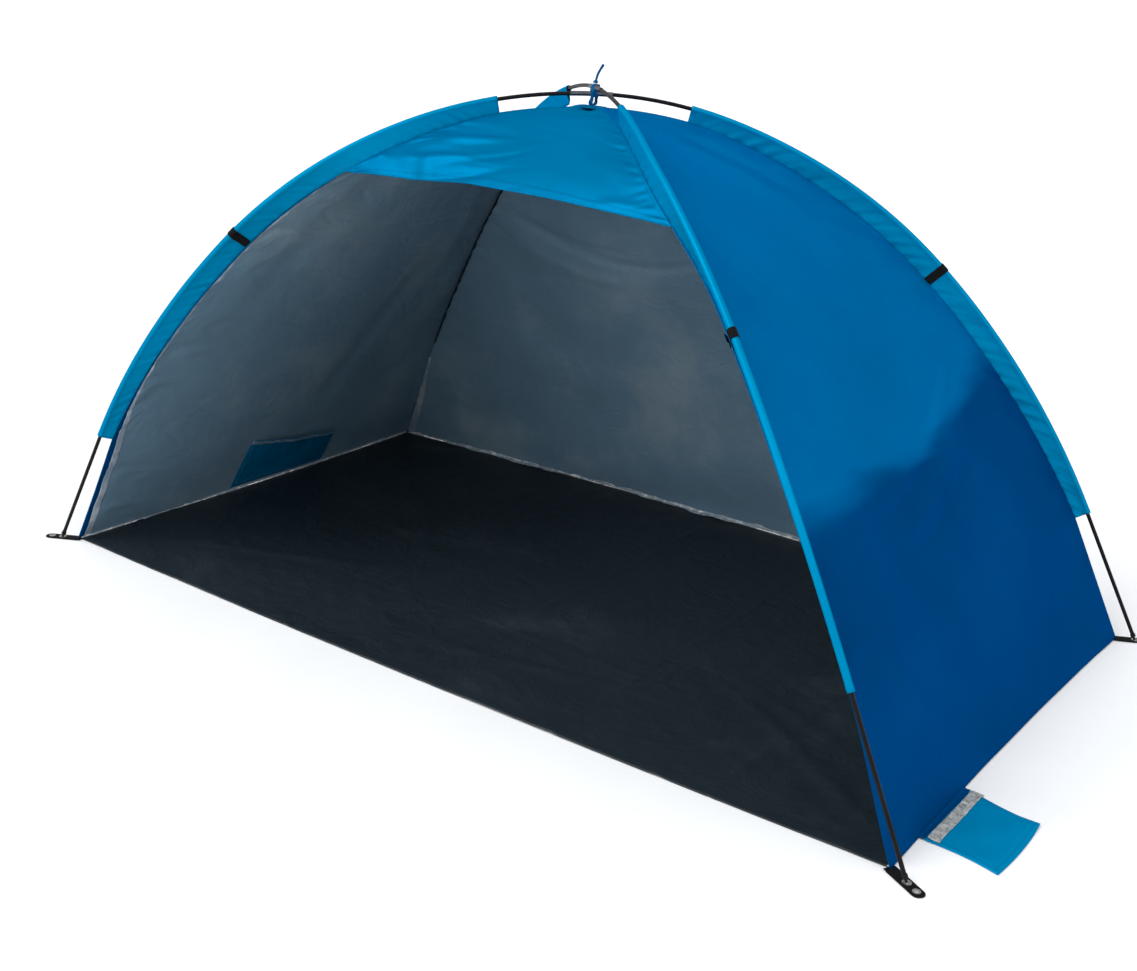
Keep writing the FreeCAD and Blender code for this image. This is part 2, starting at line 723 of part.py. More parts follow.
def make_all():
    parts = {}
    for pole in POLES:
        parts.update(make_pole(pole))
    for corner in CORNERS:
        parts[f"sleeve_{corner}"] = make_sleeve(corner)
        parts[f"sleeve_tie_{corner}"] = make_tie(corner)
        parts[f"tie_tail_{corner}"] = make_tie_tail(corner)
        parts[f"corner_tab_{corner}"] = make_corner_tab(corner)
        parts[f"peg_eyelet_{corner}"] = make_eyelet(corner, PEG_EYELET_REACH, PEG_EYELET_BORE)
    parts["pole_eyelets"] = Part.makeCompound(
        [make_eyelet(corner, POLE_EYELET_REACH, POLE_EYELET_BORE) for corner in CORNERS])
    for name in PANELS:
        parts[name] = make_panel(name)
    parts["groundsheet"] = make_groundsheet()
    parts["peak_patch"] = make_peak_patch()
    parts["crossing_loop"] = make_crossing_loop()
    parts["crossing_knot"] = make_crossing_knot()
    parts["ribbon_tail"] = make_ribbon_tail()
    for name, side, centre, skew in (("right", RIGHT, RIGHT_POCKET_CENTRE, RIGHT_POCKET_SKEW),
                                     ("left", LEFT, LEFT_POCKET_CENTRE, 0.0)):
        parts[f"sand_pocket_{name}"] = make_sand_pocket(centre, side, skew)
        parts[f"sand_pocket_strip_{name}"] = make_pocket_strip(centre, side)
    hem_low = INNER_POCKET_HIGH - INNER_POCKET_HEM
    parts["inner_pocket"] = make_inner_pocket(INNER_POCKET_LOW, INNER_POCKET_HIGH, 0.0)
    parts["inner_pocket_hem"] = make_inner_pocket(
        hem_low, INNER_POCKET_HIGH, CLOTH + INNER_POCKET_HEM_GAP)
    return parts


os.makedirs("parts", exist_ok=True)
for part_name, part_shape in make_all().items():
    print(f"{part_name:28s} {part_shape.ShapeType:9s} valid {part_shape.isValid()} "
          f"volume {part_shape.Volume / 1000:10.3f} cm3")
    part_shape.exportStep(f"parts/{part_name}.step")
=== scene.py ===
import json
import math

import bmesh
import bpy
import numpy as np
from mathutils import Matrix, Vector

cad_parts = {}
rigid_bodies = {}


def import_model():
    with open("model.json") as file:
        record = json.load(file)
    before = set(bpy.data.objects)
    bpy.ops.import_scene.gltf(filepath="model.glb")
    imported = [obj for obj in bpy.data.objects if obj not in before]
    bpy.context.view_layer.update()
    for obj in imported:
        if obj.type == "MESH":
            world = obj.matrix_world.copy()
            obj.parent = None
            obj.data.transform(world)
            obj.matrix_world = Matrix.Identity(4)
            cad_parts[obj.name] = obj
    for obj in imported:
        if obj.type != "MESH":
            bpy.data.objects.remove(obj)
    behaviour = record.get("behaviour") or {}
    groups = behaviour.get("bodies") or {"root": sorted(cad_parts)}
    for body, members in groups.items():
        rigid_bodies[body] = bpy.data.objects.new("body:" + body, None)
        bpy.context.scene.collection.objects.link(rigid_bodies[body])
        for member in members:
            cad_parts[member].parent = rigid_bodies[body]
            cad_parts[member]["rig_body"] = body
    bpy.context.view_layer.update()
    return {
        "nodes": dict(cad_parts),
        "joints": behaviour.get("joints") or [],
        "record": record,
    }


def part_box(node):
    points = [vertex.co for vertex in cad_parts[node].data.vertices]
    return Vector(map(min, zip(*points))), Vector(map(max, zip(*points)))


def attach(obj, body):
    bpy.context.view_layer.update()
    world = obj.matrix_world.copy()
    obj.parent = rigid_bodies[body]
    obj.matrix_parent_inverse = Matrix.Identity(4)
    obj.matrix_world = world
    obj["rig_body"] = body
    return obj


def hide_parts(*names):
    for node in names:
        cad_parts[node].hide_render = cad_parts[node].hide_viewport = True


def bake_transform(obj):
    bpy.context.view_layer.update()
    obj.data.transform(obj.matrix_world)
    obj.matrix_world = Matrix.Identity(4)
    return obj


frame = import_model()

# Open-fronted beach shelter, in metres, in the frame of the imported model.
# +X runs along its length, to the right for someone who looks in through the open front.
# The front faces -Y and +Z is up. Distances along a pole run from the crossing down to its foot.
# Cloth lengths across and along a sheet are kept as UV coordinates in metres, for weave and stitches.

# ---------------------------------------------------------------- driving dimensions

# Arch of each half pole from the crossing to the foot: (radius, slope in degrees at the arc's end)
FRONT_ARCH = ((1.091, 20.8), (1.159, 46.75), (1.949, 64.5))
REAR_ARCH = ((0.951, 18.2), (1.183, 43.5), (2.016, 63.0))
CROSSING_HEIGHT = 1.1525
CROSSING_RISE = 0.0135
HALF_DEPTH = 0.6055
SEAM_GAP = 0.002

# Lean of the half poles out of their upright planes, in degrees, and how far along they take it up
FRONT_TILT = 23.0
REAR_TILT = 11.0
CROSSING_TILT = 17.0
TILT_BLEND = 0.5
SHIFT_FADE = 1.0

# Sleeves, bare legs below them, and the fins of cloth between the poles and the seams
SLEEVE_TOP = 0.208
SLEEVE_RADIUS = 0.0072
SLEEVE_HEM = (0.010, 0.0125)
SLEEVE_RINGS = 190
NOSE_POINTS = 13
SIDE_POINTS = 15
LEG_LENGTH = 0.329
FIN_WIDTH_END = 0.028
FIN_WIDTH_MIDDLE = 0.042
FIN_WIDTH_FOOT = 0.038
FRONT_SWING = 27.0
SWING_START = 0.45
SWING_BLEND = 0.35

# Canopy panels
PANEL_TOP = 0.003
WALL_FOOT_HEIGHT = 0.0026
AWNING_DROP = 0.584
AWNING_HEM_RISE = 0.018
AWNING_HEM = 0.022
AWNING_HEM_EXTRA = 0.0009
AWNING_STITCHES = (0.004, 0.019)
CLOTH = 0.0007

# Least width and length that declare_sheet works out for a sheet
NARROWEST_SHEET = 0.0101

# Soft relief of the panels, and how far the pull of a seam reaches into the cloth
SWELL = 0.003
PUCKER = 0.0016
PUCKER_REACH = 0.035
BROAD_PUCKER_REACH = 0.13
SEAM_HOLD = 0.02
FOLD_CLEAR = 0.12
FOLD_BELOW_TOP = 0.15
FOOT_HOLD = 0.06

# Spacing of the cloth's threads, and the heights of the soft line below which shade is painted into the
# colour of the walls
WEAVE = 0.0011
PAINTED_SHADE_LINE = (0.502, 0.558)
PAINTED_SHADE_LINE_CLIMB = 0.24
PAINTED_SHADE_LINE_DRIFT = 0.05

# Webbing bands round the sleeves and their loose ends
TIE_HEIGHT = 0.820
TIE_SQUEEZE = 0.022
TIE_WIDTH = 0.020
TIE_THICKNESS = 0.0012
TIE_INNER_RADIUS = SLEEVE_RADIUS + 0.0007
TIE_INNER_EDGE = 0.0018
TIE_TAIL_WIDTH = 0.0175
TIE_TAIL_THICKNESS = 0.0011
TIE_TAIL_STITCH = 0.0068

# Corner tabs: distances from the middle of the shelter, then sizes across the strap
TAB_STARTS = (1.258, 1.250)
TAB_STITCH_STARTS = (1.262, 1.272)
TAB_PAST_PEG = 0.016
TAB_EYELET_SPACING = 0.027
TAB_WIDTH = 0.025
TAB_LAYER = 0.0009
TAB_LAYER_HEIGHTS = (0.00115, 0.00205)
TAB_BEVEL = 0.00035
TAB_STITCH_OFF = 0.0105
TAB_STITCH_HEIGHT = 0.00255
PEG_HOLE = 0.0050
POLE_HOLE = 0.0060
HOLE_SIDES = 40

# Groundsheet: bow of its sides, hem, and where it was folded for packing
FLOOR_SIDE_BOW = 0.010
FLOOR_THICKNESS = 0.0006
FLOOR_HEM = (0.016, 0.018)
FLOOR_FOLDS_ACROSS = (-0.73, -0.36, 0.02, 0.38, 0.74)
FLOOR_FOLDS_ALONG = (-0.30, 0.03, 0.33)

# Seam allowances and hems inside the cabin
FLANGE_ROOT = 0.0025
FLANGE_WIDTH = 0.009
FLANGE_TOP = 0.30
LOWER_FLANGE = 0.36
HEM_TAPER = 0.22
FLOOR_SEAM_STEP = 0.0035
FLOOR_SEAM_STAND = 0.0022
FLOOR_SEAM_HEIGHT = 0.0034
FLOOR_SEAM_LOWEST = 0.0026
FLOOR_SEAM_THICKNESS = 0.0005
FLOOR_SEAM_SPLIT = 0.55
STRIP_THICKNESS = 0.0006
STRIP_COLUMNS = 6
STRIP_NARROW = 0.35

# Patch over the peak: depth below its CAD top, fall from middle to edge, and place of its stitches
PATCH_BELOW_TOP = 0.0012
PATCH_DOME = 0.0022
PATCH_STITCH_SHARE = 0.9

# Ribbon that ties the poles together: widths of the loop, wraps, knot and loose end
LOOP_WIDTH = 0.0098
WRAP_WIDTH = 0.0085
WRAP_SPAN = 0.0095
WRAP_HEIGHT = 0.0138
KNOT_WIDTH = 0.0052
TAIL_WIDTH = 0.0058
TAIL_ROOT = 0.004

# Sand pockets
SAND_ROWS = 64
SAND_COLUMNS = 46
PILE_ROWS = 90
PILE_COLUMNS = 14
PILE_LOOPS = 1500
PILE_THICKNESS = 0.0011
ROOT_COLUMNS = 7
ROOT_HEIGHT = 0.006
ROOT_CLEARANCE = 0.0012
ROOT_FOOT_HEIGHT = 0.0034

# Storage pocket on the left end wall
POCKET_COLUMNS = 90
POCKET_FRONT = -0.128
POCKET_REAR = 0.212
POCKET_TAPER = 0.030
POCKET_LOW = 0.014
POCKET_HIGH = 0.156
POCKET_MOUTH = 0.0125
POCKET_SIDE = 0.0015

# Camera and light
CAMERA_PLACE = (1.9083, -2.7443, 1.4629)
CAMERA_AIM = (0.1994, -0.3418, 0.4000)
CAMERA_ROLL = 2.864
CAMERA_LENS = 47.92
STUDIO_RADII = (0.001, 2.0, 5.0, 15.0, 60.0, 600.0)
STUDIO_SIDES = 96
STUDIO_FLOOR_HEIGHT = -0.0005
LIGHT_ALL_ROUND = 0.72
SEEN_BACKGROUND = 1.05
SUNS = (("key_light", (-1.6, -1.7, 2.8), 40.0, 1.55), ("low_light", (-1.0, -2.4, 0.9), 55.0, 0.85),
        ("side_light", (3.0, -0.6, 2.2), 45.0, 0.95))


def box_of(node):
    """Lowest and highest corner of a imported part."""
    return [np.array(corner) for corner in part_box(node)]


# The frame's own measures
FLOOR_LOW, FLOOR_HIGH = box_of("groundsheet")
PATCH_LOW, PATCH_HIGH = box_of("peak_patch")
KNOT_LOW, KNOT_HIGH = box_of("crossing_knot")
HALF_LENGTH = FLOOR_HIGH[0] + SEAM_GAP
CROSSING = (KNOT_LOW + KNOT_HIGH) / 2
CROSSING_SHIFT = CROSSING[0]
DIAGONAL = math.atan2(HALF_DEPTH, HALF_LENGTH)

UP = np.array([0.0, 0.0, 1.0])
CORNERS = {"front_left": (-1, -1), "front_right": (1, -1), "rear_left": (-1, 1), "rear_right": (1, 1)}
RAISED = ("front_right", "rear_left")

# Panels: first and second seam, sag of the middle, bow of the foot, outward direction
PANELS = {
    "left_end_wall": ("front_left", "rear_left", -0.022, -0.010, (-1, 0, 0)),
    "right_end_wall": ("front_right", "rear_right", -0.022, -0.010, (1, 0, 0)),
    "rear_wall": ("rear_left", "rear_right", -0.030, 0.034, (0, 1, 0)),
    "front_awning": ("front_left", "front_right", -0.008, 0.0, (0, -1, 0)),
}


# ---------------------------------------------------------------- small maths

def out_of(panel):
    """Direction that a panel's outer face looks to."""
    return np.array(PANELS[panel][4], dtype=float)


def full_turn(count):
    """Evenly spaced angles once round."""
    return np.linspace(0, 2 * math.pi, count, endpoint=False)


def unit(vectors):
    length = np.linalg.norm(vectors, axis=-1, keepdims=True)
    return vectors / np.maximum(length, 1e-12)


def ease(fraction):
    """Smooth rise from 0 at 0 to 1 at 1 and beyond."""
    return (1 - math.cos(math.pi * min(1.0, fraction))) / 2


def smooth(low, high, values):
    """Smooth step from 0 at low to 1 at high."""
    fraction = np.clip((values - low) / (high - low), 0, 1)
    return fraction * fraction * (3 - 2 * fraction)


def waves(seed, count, shortest, longest):
    """Gentle irregular height field, about -1 to 1, made of seeded sine waves."""
    chance = np.random.default_rng(seed)
    lengths = np.exp(chance.uniform(math.log(shortest), math.log(longest), count))
    turns = chance.uniform(0, 2 * math.pi, (count, 2))

    def field(x, y):
        total = 0.0
        for length, (heading, phase) in zip(lengths, turns):
            run = x * math.cos(heading) + y * math.sin(heading)
            total = total + np.sin(2 * math.pi * run / length + phase)
        return total / math.sqrt(count)

    return field


def crease(x, y, start, end, width, height):
    """Soft ridge, or a groove if its height is negative, along a line from start to end."""
    start, end = np.array(start), np.array(end)
    length = np.linalg.norm(end - start)
    along_x, along_y = (end - start) / length
    run = (x - start[0]) * along_x + (y - start[1]) * along_y
    off = (y - start[1]) * along_x - (x - start[0]) * along_y
    fade = smooth(-0.15 * length, 0.3 * length, run) * (1 - smooth(0.6 * length, 1.15 * length, run))
    return height * fade * np.exp(-(off / width) ** 2)


# ---------------------------------------------------------------- arches and seams

def profile_at(arch, distance):
    """Reach, height and slope of a half pole in its own upright plane."""
    reach, height, slope = 0.0, CROSSING_HEIGHT, 0.0
    for radius, end_degrees in arch:
        length = radius * (math.radians(end_degrees) - slope)
        new_slope = slope + min(distance, length) / radius
        reach += radius * (math.sin(new_slope) - math.sin(slope))
        height -= radius * (math.cos(slope) - math.cos(new_slope))
        slope = new_slope
        distance -= length
        if distance <= 0:
            return reach, height, slope
    return reach + distance * math.cos(slope), height - distance * math.sin(slope), slope


def arch_of(corner):
    return FRONT_ARCH if CORNERS[corner][1] < 0 else REAR_ARCH


def half_length(corner):
    """Length of a half pole from the crossing to the ground."""
    curved, slope = 0.0, 0.0
    for radius, end_degrees in arch_of(corner):
        curved += radius * (math.radians(end_degrees) - slope)
        slope = math.radians(end_degrees)
    return curved + profile_at(arch_of(corner), curved)[1] / math.sin(slope)


def outward_of(corner):
    side, end = CORNERS[corner]
    return np.array([side * math.cos(DIAGONAL), end * math.sin(DIAGONAL), 0.0])


def fin_swing(corner, distance):
    """Angle by which the end wall pulls a front fin round towards itself, below the awning."""
    if CORNERS[corner][1] > 0:
        return 0.0
    coming = ease(max(0.0, distance - SWING_START) / SWING_BLEND)
    going = ease(max(0.0, half_length(corner) - distance) / LEG_LENGTH)
    return math.radians(FRONT_SWING) * coming * going


def arch_point(corner, distance, inward=0.0, rise=0.0):
    """A point of a half pole, moved inward across the fin, with the crossing raised by rise."""
    side, end = CORNERS[corner]
    arch = arch_of(corner)
    foot_reach = profile_at(arch, half_length(corner))[0]
    reach, height, slope = profile_at(arch, distance)
    chord = math.hypot(CROSSING_HEIGHT, foot_reach)
    off_chord = (CROSSING_HEIGHT * reach + foot_reach * (height - CROSSING_HEIGHT)) / chord
    tilt = FRONT_TILT if end < 0 else REAR_TILT
    tilt = CROSSING_TILT + (tilt - CROSSING_TILT) * ease(distance / TILT_BLEND)
    sideways = np.array([-side * math.sin(DIAGONAL), end * math.cos(DIAGONAL), 0.0])
    swing = fin_swing(corner, distance)
    reach -= inward * math.sin(slope) * math.cos(swing)
    lifted = height * (1 + rise / CROSSING_HEIGHT) - inward * math.cos(slope) * math.cos(swing)
    shift = CROSSING_SHIFT * (1 - ease(distance / SHIFT_FADE))
    bow = off_chord * math.tan(math.radians(tilt)) - inward * math.sin(swing)
    return outward_of(corner) * reach + sideways * bow + UP * lifted + np.array([shift, 0, 0])


def rise_of(corner):
    return CROSSING_RISE if corner in RAISED else 0.0


def leg_top(corner):
    return half_length(corner) - LEG_LENGTH


def fin_width(corner, distance):
    """Width of the cloth between the pole's centre line and the seam."""
    end = leg_top(corner)
    if distance > end:
        return FIN_WIDTH_END + (FIN_WIDTH_FOOT - FIN_WIDTH_END) * (distance - end) / LEG_LENGTH
    along = max(0.0, (distance - SLEEVE_TOP) / (end - SLEEVE_TOP))
    return FIN_WIDTH_END + (FIN_WIDTH_MIDDLE - FIN_WIDTH_END) * math.sin(math.pi * along)


def seam_point(corner, distance):
    return arch_point(corner, distance, fin_width(corner, distance))


def distance_at_height(point_at, low, high, height):
    """Distance along a falling curve where it comes down to a height, by bisection."""
    for _ in range(40):
        middle = (low + high) / 2
        if point_at(middle)[2] > height:
            low = middle
        else:
            high = middle
    return (low + high) / 2


def foot_distance(corner):
    """Distance down a seam at which it meets the floor."""
    return distance_at_height(lambda d: seam_point(corner, d), leg_top(corner), half_length(corner),
                              WALL_FOOT_HEIGHT)


FOOT = {corner: foot_distance(corner) for corner in CORNERS}


def fin_frame(corner, distance):
    """Pole point, unit vector across the fin to the seam, and unit vector square to the fin."""
    rise = rise_of(corner)
    point = arch_point(corner, distance, rise=rise)
    ahead = arch_point(corner, distance + 0.001, rise=rise)
    across = unit(arch_point(corner, distance, 0.001, rise) - point)
    face = unit(np.cross(across, unit(ahead - point)))
    return point, across, face


def sleeve_width(corner, distance):
    lift = rise_of(corner) * arch_point(corner, distance)[2] / CROSSING_HEIGHT
    return fin_width(corner, distance) + lift / 2


# ---------------------------------------------------------------- mesh building

def add_piece(name, points, faces, materials, body, uvs=None, material_of=None):
    """New mesh object that rides on a body, with the given materials."""
    mesh = bpy.data.meshes.new(name)
    mesh.from_pydata(np.asarray(points, dtype=float).reshape(-1, 3).tolist(), [], faces)
    mesh.polygons.foreach_set("use_smooth", [True] * len(mesh.polygons))
    for material in materials:
        mesh.materials.append(material)
    if material_of is not None:
        mesh.polygons.foreach_set("material_index", np.asarray(material_of, dtype=np.int32))
    if uvs is not None:
        corners = np.empty(len(mesh.loops), dtype=np.int32)
        mesh.loops.foreach_get("vertex_index", corners)
        layer = mesh.uv_layers.new(name="lengths")
        layer.data.foreach_set("uv", np.asarray(uvs, dtype=float).reshape(-1, 2)[corners].ravel())
    mesh.update()
    piece = bpy.data.objects.new(name, mesh)
    bpy.context.scene.collection.objects.link(piece)
    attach(piece, body)
    return piece


def release(piece):
    """Takes a piece off the body that it rides on."""
    piece.parent = None
    del piece["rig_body"]


def grid_normals(grid, outward):
    """Unit normals of a grid of points, on the side that outward points to, and whether they are flipped."""
    across = np.gradient(grid, axis=1)
    along = np.gradient(grid, axis=0)
    normal = unit(np.cross(across, along))
    flipped = float((normal * np.asarray(outward, dtype=float)).sum(axis=-1).mean()) < 0
    return (-normal if flipped else normal), flipped


def grid_lengths(grid):
    """Lengths across and along a grid of points, as UV coordinates in metres."""
    across = np.linalg.norm(np.diff(grid, axis=1), axis=2).cumsum(axis=1)
    across = np.hstack([np.zeros((grid.shape[0], 1)), across])
    across -= across.mean(axis=1, keepdims=True)
    along = np.linalg.norm(np.diff(grid, axis=0), axis=2).cumsum(axis=0)
    along = np.vstack([np.zeros((1, grid.shape[1])), along])
    return np.stack([across, along], axis=2)


def path_lengths(path):
    """Length along a path at each of its points."""
    return np.concatenate([[0.0], np.linalg.norm(np.diff(path, axis=0), axis=1).cumsum()])


def read_off(places, run, path):
    """Points of a path at places along it, where run is the length at each of its points."""
    return np.stack([np.interp(places, run, path[:, axis]) for axis in range(3)], axis=-1)


def ring_index(rings, around):
    """Point numbers of a set of rings, with the first column again at the end."""
    index = np.arange(rings * around).reshape(rings, around)
    return np.hstack([index, index[:, :1]])


def grid_faces(index):
    return np.stack([index[:-1, :-1], index[:-1, 1:], index[1:, 1:], index[1:, :-1]], axis=2).reshape(-1, 4)


def add_sheet(name, grid, thickness, outward, materials, body):
    """Closed thin sheet on a grid of points. The first material is outside and the last is inside."""
    normal, flipped = grid_normals(grid, outward)
    half = np.broadcast_to(np.asarray(thickness, dtype=float), grid.shape[:2])[..., None] / 2
    outer, inner = grid + normal * half, grid - normal * half
    count = grid.shape[0] * grid.shape[1]
    index = np.arange(count).reshape(grid.shape[:2])
    rim = np.concatenate([index[0, :-1], index[:-1, -1], index[-1, :0:-1], index[:0:-1, 0]])
    after = np.roll(rim, -1)
    front = grid_faces(index)
    back = grid_faces(index)[:, ::-1] + count
    edge = np.stack([after, rim, rim + count, after + count], axis=1)
    faces = np.concatenate([front, back, edge])
    if flipped:
        faces = faces[:, ::-1]
    inside = len(materials) - 1
    material_of = np.concatenate([np.zeros(len(front)), np.full(len(back), inside), np.zeros(len(edge))])
    lengths = grid_lengths(grid).reshape(-1, 2)
    points = np.concatenate([outer.reshape(-1, 3), inner.reshape(-1, 3)])
    return add_piece(name, points, faces.tolist(), materials, body,
                     np.concatenate([lengths, lengths]), material_of)


def tidy_normals(piece):
    """Turns all faces of a closed piece outward."""
    work = bmesh.new()
    work.from_mesh(piece.data)
    bmesh.ops.recalc_face_normals(work, faces=work.faces)
    work.to_mesh(piece.data)
    work.free()
    return piece


def add_tube(name, outer, inner, materials, body):
    """Open-ended tube between an outer and an inner set of rings."""
    stations, around = outer.shape[:2]
    count = stations * around
    index = ring_index(stations, around)
    ends = []
    for row in (index[0], index[-1]):
        ends.append(np.stack([row[:-1], row[1:], row[1:] + count, row[:-1] + count], axis=1))
    faces = np.concatenate([grid_faces(index), grid_faces(index + count)] + ends)
    girth = np.linalg.norm(np.roll(outer, -1, axis=1) - outer, axis=2).cumsum(axis=1)
    length = np.linalg.norm(np.diff(outer, axis=0), axis=2).mean(axis=1).cumsum()
    length = np.concatenate([[0.0], length])[:, None] + np.zeros_like(girth)
    lengths = np.stack([girth, length], axis=2).reshape(-1, 2)
    material_of = np.zeros(len(faces))
    material_of[stations * around - around:2 * (stations * around - around)] = len(materials) - 1
    piece = add_piece(name, np.concatenate([outer.reshape(-1, 3), inner.reshape(-1, 3)]), faces.tolist(),
                      materials, body, np.concatenate([lengths, lengths]), material_of)
    return tidy_normals(piece)


# Turns round the rounded outline of a strap, four to each corner, and the side that each is on
STRAP_TURNS = [math.pi / 2 * (quarter + step / 3) for quarter in range(4) for step in range(4)]
STRAP_SIDES = [1 if quarter in (0, 3) else -1 for quarter in range(4) for step in range(4)]
STRAP_FACES = [1 if quarter in (0, 1) else -1 for quarter in range(4) for step in range(4)]


def add_sweep(name, centres, sides, ups, width, thickness, materials, body):
    """Strap with rounded edges, swept along centres. Sides run across it and ups stand out of it."""
    centres, sides, ups = [np.asarray(values, dtype=float) for values in (centres, sides, ups)]
    stations = len(centres)
    radius = min(width, thickness) / 2
    rings = np.empty((stations, len(STRAP_TURNS), 3))
    lengths = np.empty((stations, len(STRAP_TURNS), 2))
    lengths[..., 1] = path_lengths(centres)[:, None]
    for place, (turn, side_sign, face_sign) in enumerate(zip(STRAP_TURNS, STRAP_SIDES, STRAP_FACES)):
        across = side_sign * (width / 2 - radius) + radius * math.cos(turn)
        out = face_sign * (thickness / 2 - radius) + radius * math.sin(turn)
        rings[:, place] = centres + sides * across + ups * out
        lengths[:, place, 0] = across
    index = ring_index(stations, len(STRAP_TURNS))
    faces = grid_faces(index).tolist()
    faces.append(index[0, :-1].tolist())
    faces.append(index[-1, :-1].tolist())
    piece = add_piece(name, rings, faces, materials, body, lengths)
    return tidy_normals(piece)


# Pitch, length and radius of the stitches of each kind of seam
SEAM_STITCH = (0.0042, 0.0030, 0.0004)
BAND_STITCH = (0.0024, 0.0018, 0.0003)
TAB_STITCH = (0.0026, 0.0020, 0.00035)
FLOOR_STITCH = (0.0055, 0.0038, 0.0004)
PATCH_STITCH = (0.0030, 0.0022, 0.0003)
# Rings of a stitch: place along it and share of its full radius
STITCH_SHAPE = ((-0.5, 0.35), (-0.25, 1.0), (0.25, 1.0), (0.5, 0.35))


def add_stitches(name, runs, material, body, size=SEAM_STITCH):
    """Rows of single stitches: small round-ended threads laid end to end along each run of points."""
    pitch, length, radius = size
    points, faces = [], []
    for path, ups in runs:
        path, ups = np.asarray(path, dtype=float), np.asarray(ups, dtype=float)
        steps = path_lengths(path)
        for middle in np.arange(pitch, steps[-1] - pitch, pitch):
            centre = read_off(middle, steps, path)
            up = unit(read_off(middle, steps, ups))
            forward = unit(read_off(middle + pitch / 2, steps, path) - centre)
            side = unit(np.cross(forward, up))
            base = len(points)
            for place, swell in STITCH_SHAPE:
                for turn in range(5):
                    angle = 2 * math.pi * turn / 5
                    off = side * math.cos(angle) + up * math.sin(angle)
                    points.append(centre + forward * (place * length) + off * (radius * swell))
            for ring in range(3):
                for turn in range(5):
                    here, there = base + ring * 5 + turn, base + ring * 5 + (turn + 1) % 5
                    faces.append((here, there, there + 5, here + 5))
            faces.append(tuple(base + turn for turn in range(4, -1, -1)))
            faces.append(tuple(base + 15 + turn for turn in range(5)))
    return tidy_normals(add_piece(name, points, faces, [material], body))


# ---------------------------------------------------------------- materials

class Shader:
    """A Principled material with short helpers for its node tree."""

    def __init__(self, name, **settings):
        self.material = bpy.data.materials.new(name)
        self.material.use_nodes = True
        self.tree = self.material.node_tree
        self.surface = self.tree.nodes["Principled BSDF"]
        self.place = self.tree.nodes.new("ShaderNodeTexCoord")
        self.height = None
        for socket, value in settings.items():
            self.surface.inputs[socket.replace("_", " ")].default_value = value

    def node(self, kind, inputs=(), **settings):
        node = self.tree.nodes.new(kind)
        for setting, value in settings.items():
            setattr(node, setting, value)
        for socket, value in dict(inputs).items():
            if isinstance(value, bpy.types.NodeSocket):
                self.tree.links.new(value, node.inputs[socket])
            else:
                node.inputs[socket].default_value = value
        return node

    def where(self, source, scale):
        inputs = {"Vector": self.place.outputs[source], "Scale": scale}
        return self.node("ShaderNodeMapping", inputs).outputs[0]

    def noise(self, source, scale, detail=4.0, rough=0.55, distortion=0.0):
        place = self.where(source, scale)
        return self.node("ShaderNodeTexNoise", {"Vector": place, "Scale": 1.0, "Detail": detail,
                                                "Roughness": rough, "Distortion": distortion}).outputs["Fac"]

    def grain(self, fineness, detail=4.0, rough=0.55, distortion=0.0):
        """Noise that is equally fine in all directions."""
        return self.noise("Object", (fineness, fineness, fineness), detail, rough, distortion)

    def weave(self, warp, weft, operation="ADD"):
        """Two sets of ribs with the given periods, across and along the cloth."""
        return self.maths(operation, self.bands("UV", warp, "X"), self.bands("UV", weft, "Y"))

    def bands(self, source, period, direction):
        """Fine ribs with a period in metres."""
        scale = math.pi / 10 / period
        return self.node("ShaderNodeTexWave", {"Vector": self.place.outputs[source], "Scale": scale},
                         wave_type="BANDS", bands_direction=direction).outputs["Fac"]

    def maths(self, operation, first, second):
        return self.node("ShaderNodeMath", {0: first, 1: second}, operation=operation).outputs[0]

    def range(self, value, low, high):
        return self.node("ShaderNodeMapRange", {"Value": value, "To Min": low, "To Max": high}).outputs[0]

    def ramp(self, value, stops):
        node = self.node("ShaderNodeValToRGB", {"Fac": value})
        elements = node.color_ramp.elements
        while len(elements) < len(stops):
            elements.new(0.5)
        for element, (position, colour) in zip(elements, stops):
            element.position = position
            element.color = (*colour, 1.0)
        return node.outputs["Color"]

    def mix(self, factor, first, second, blend="MIX"):
        node = self.node("ShaderNodeMix", {"Factor": factor}, data_type="RGBA", blend_type=blend)
        for socket, value in ((node.inputs[6], first), (node.inputs[7], second)):
            if isinstance(value, bpy.types.NodeSocket):
                self.tree.links.new(value, socket)
            else:
                socket.default_value = (*value, 1.0)
        return node.outputs[2]

    def colour(self, value):
        self.tree.links.new(value, self.surface.inputs["Base Color"])

    def roughness(self, value):
        self.tree.links.new(value, self.surface.inputs["Roughness"])

    def bump(self, height, strength, distance):
        """Adds a bump on top of the ones before it."""
        inputs = {"Height": height, "Strength": strength, "Distance": distance}
        if self.height is not None:
            inputs["Normal"] = self.height
        self.height = self.node("ShaderNodeBump", inputs).outputs[0]
        self.tree.links.new(self.height, self.surface.inputs["Normal"])


def shade(colour, factor):
    return tuple(min(1.0, part * factor) for part in colour)


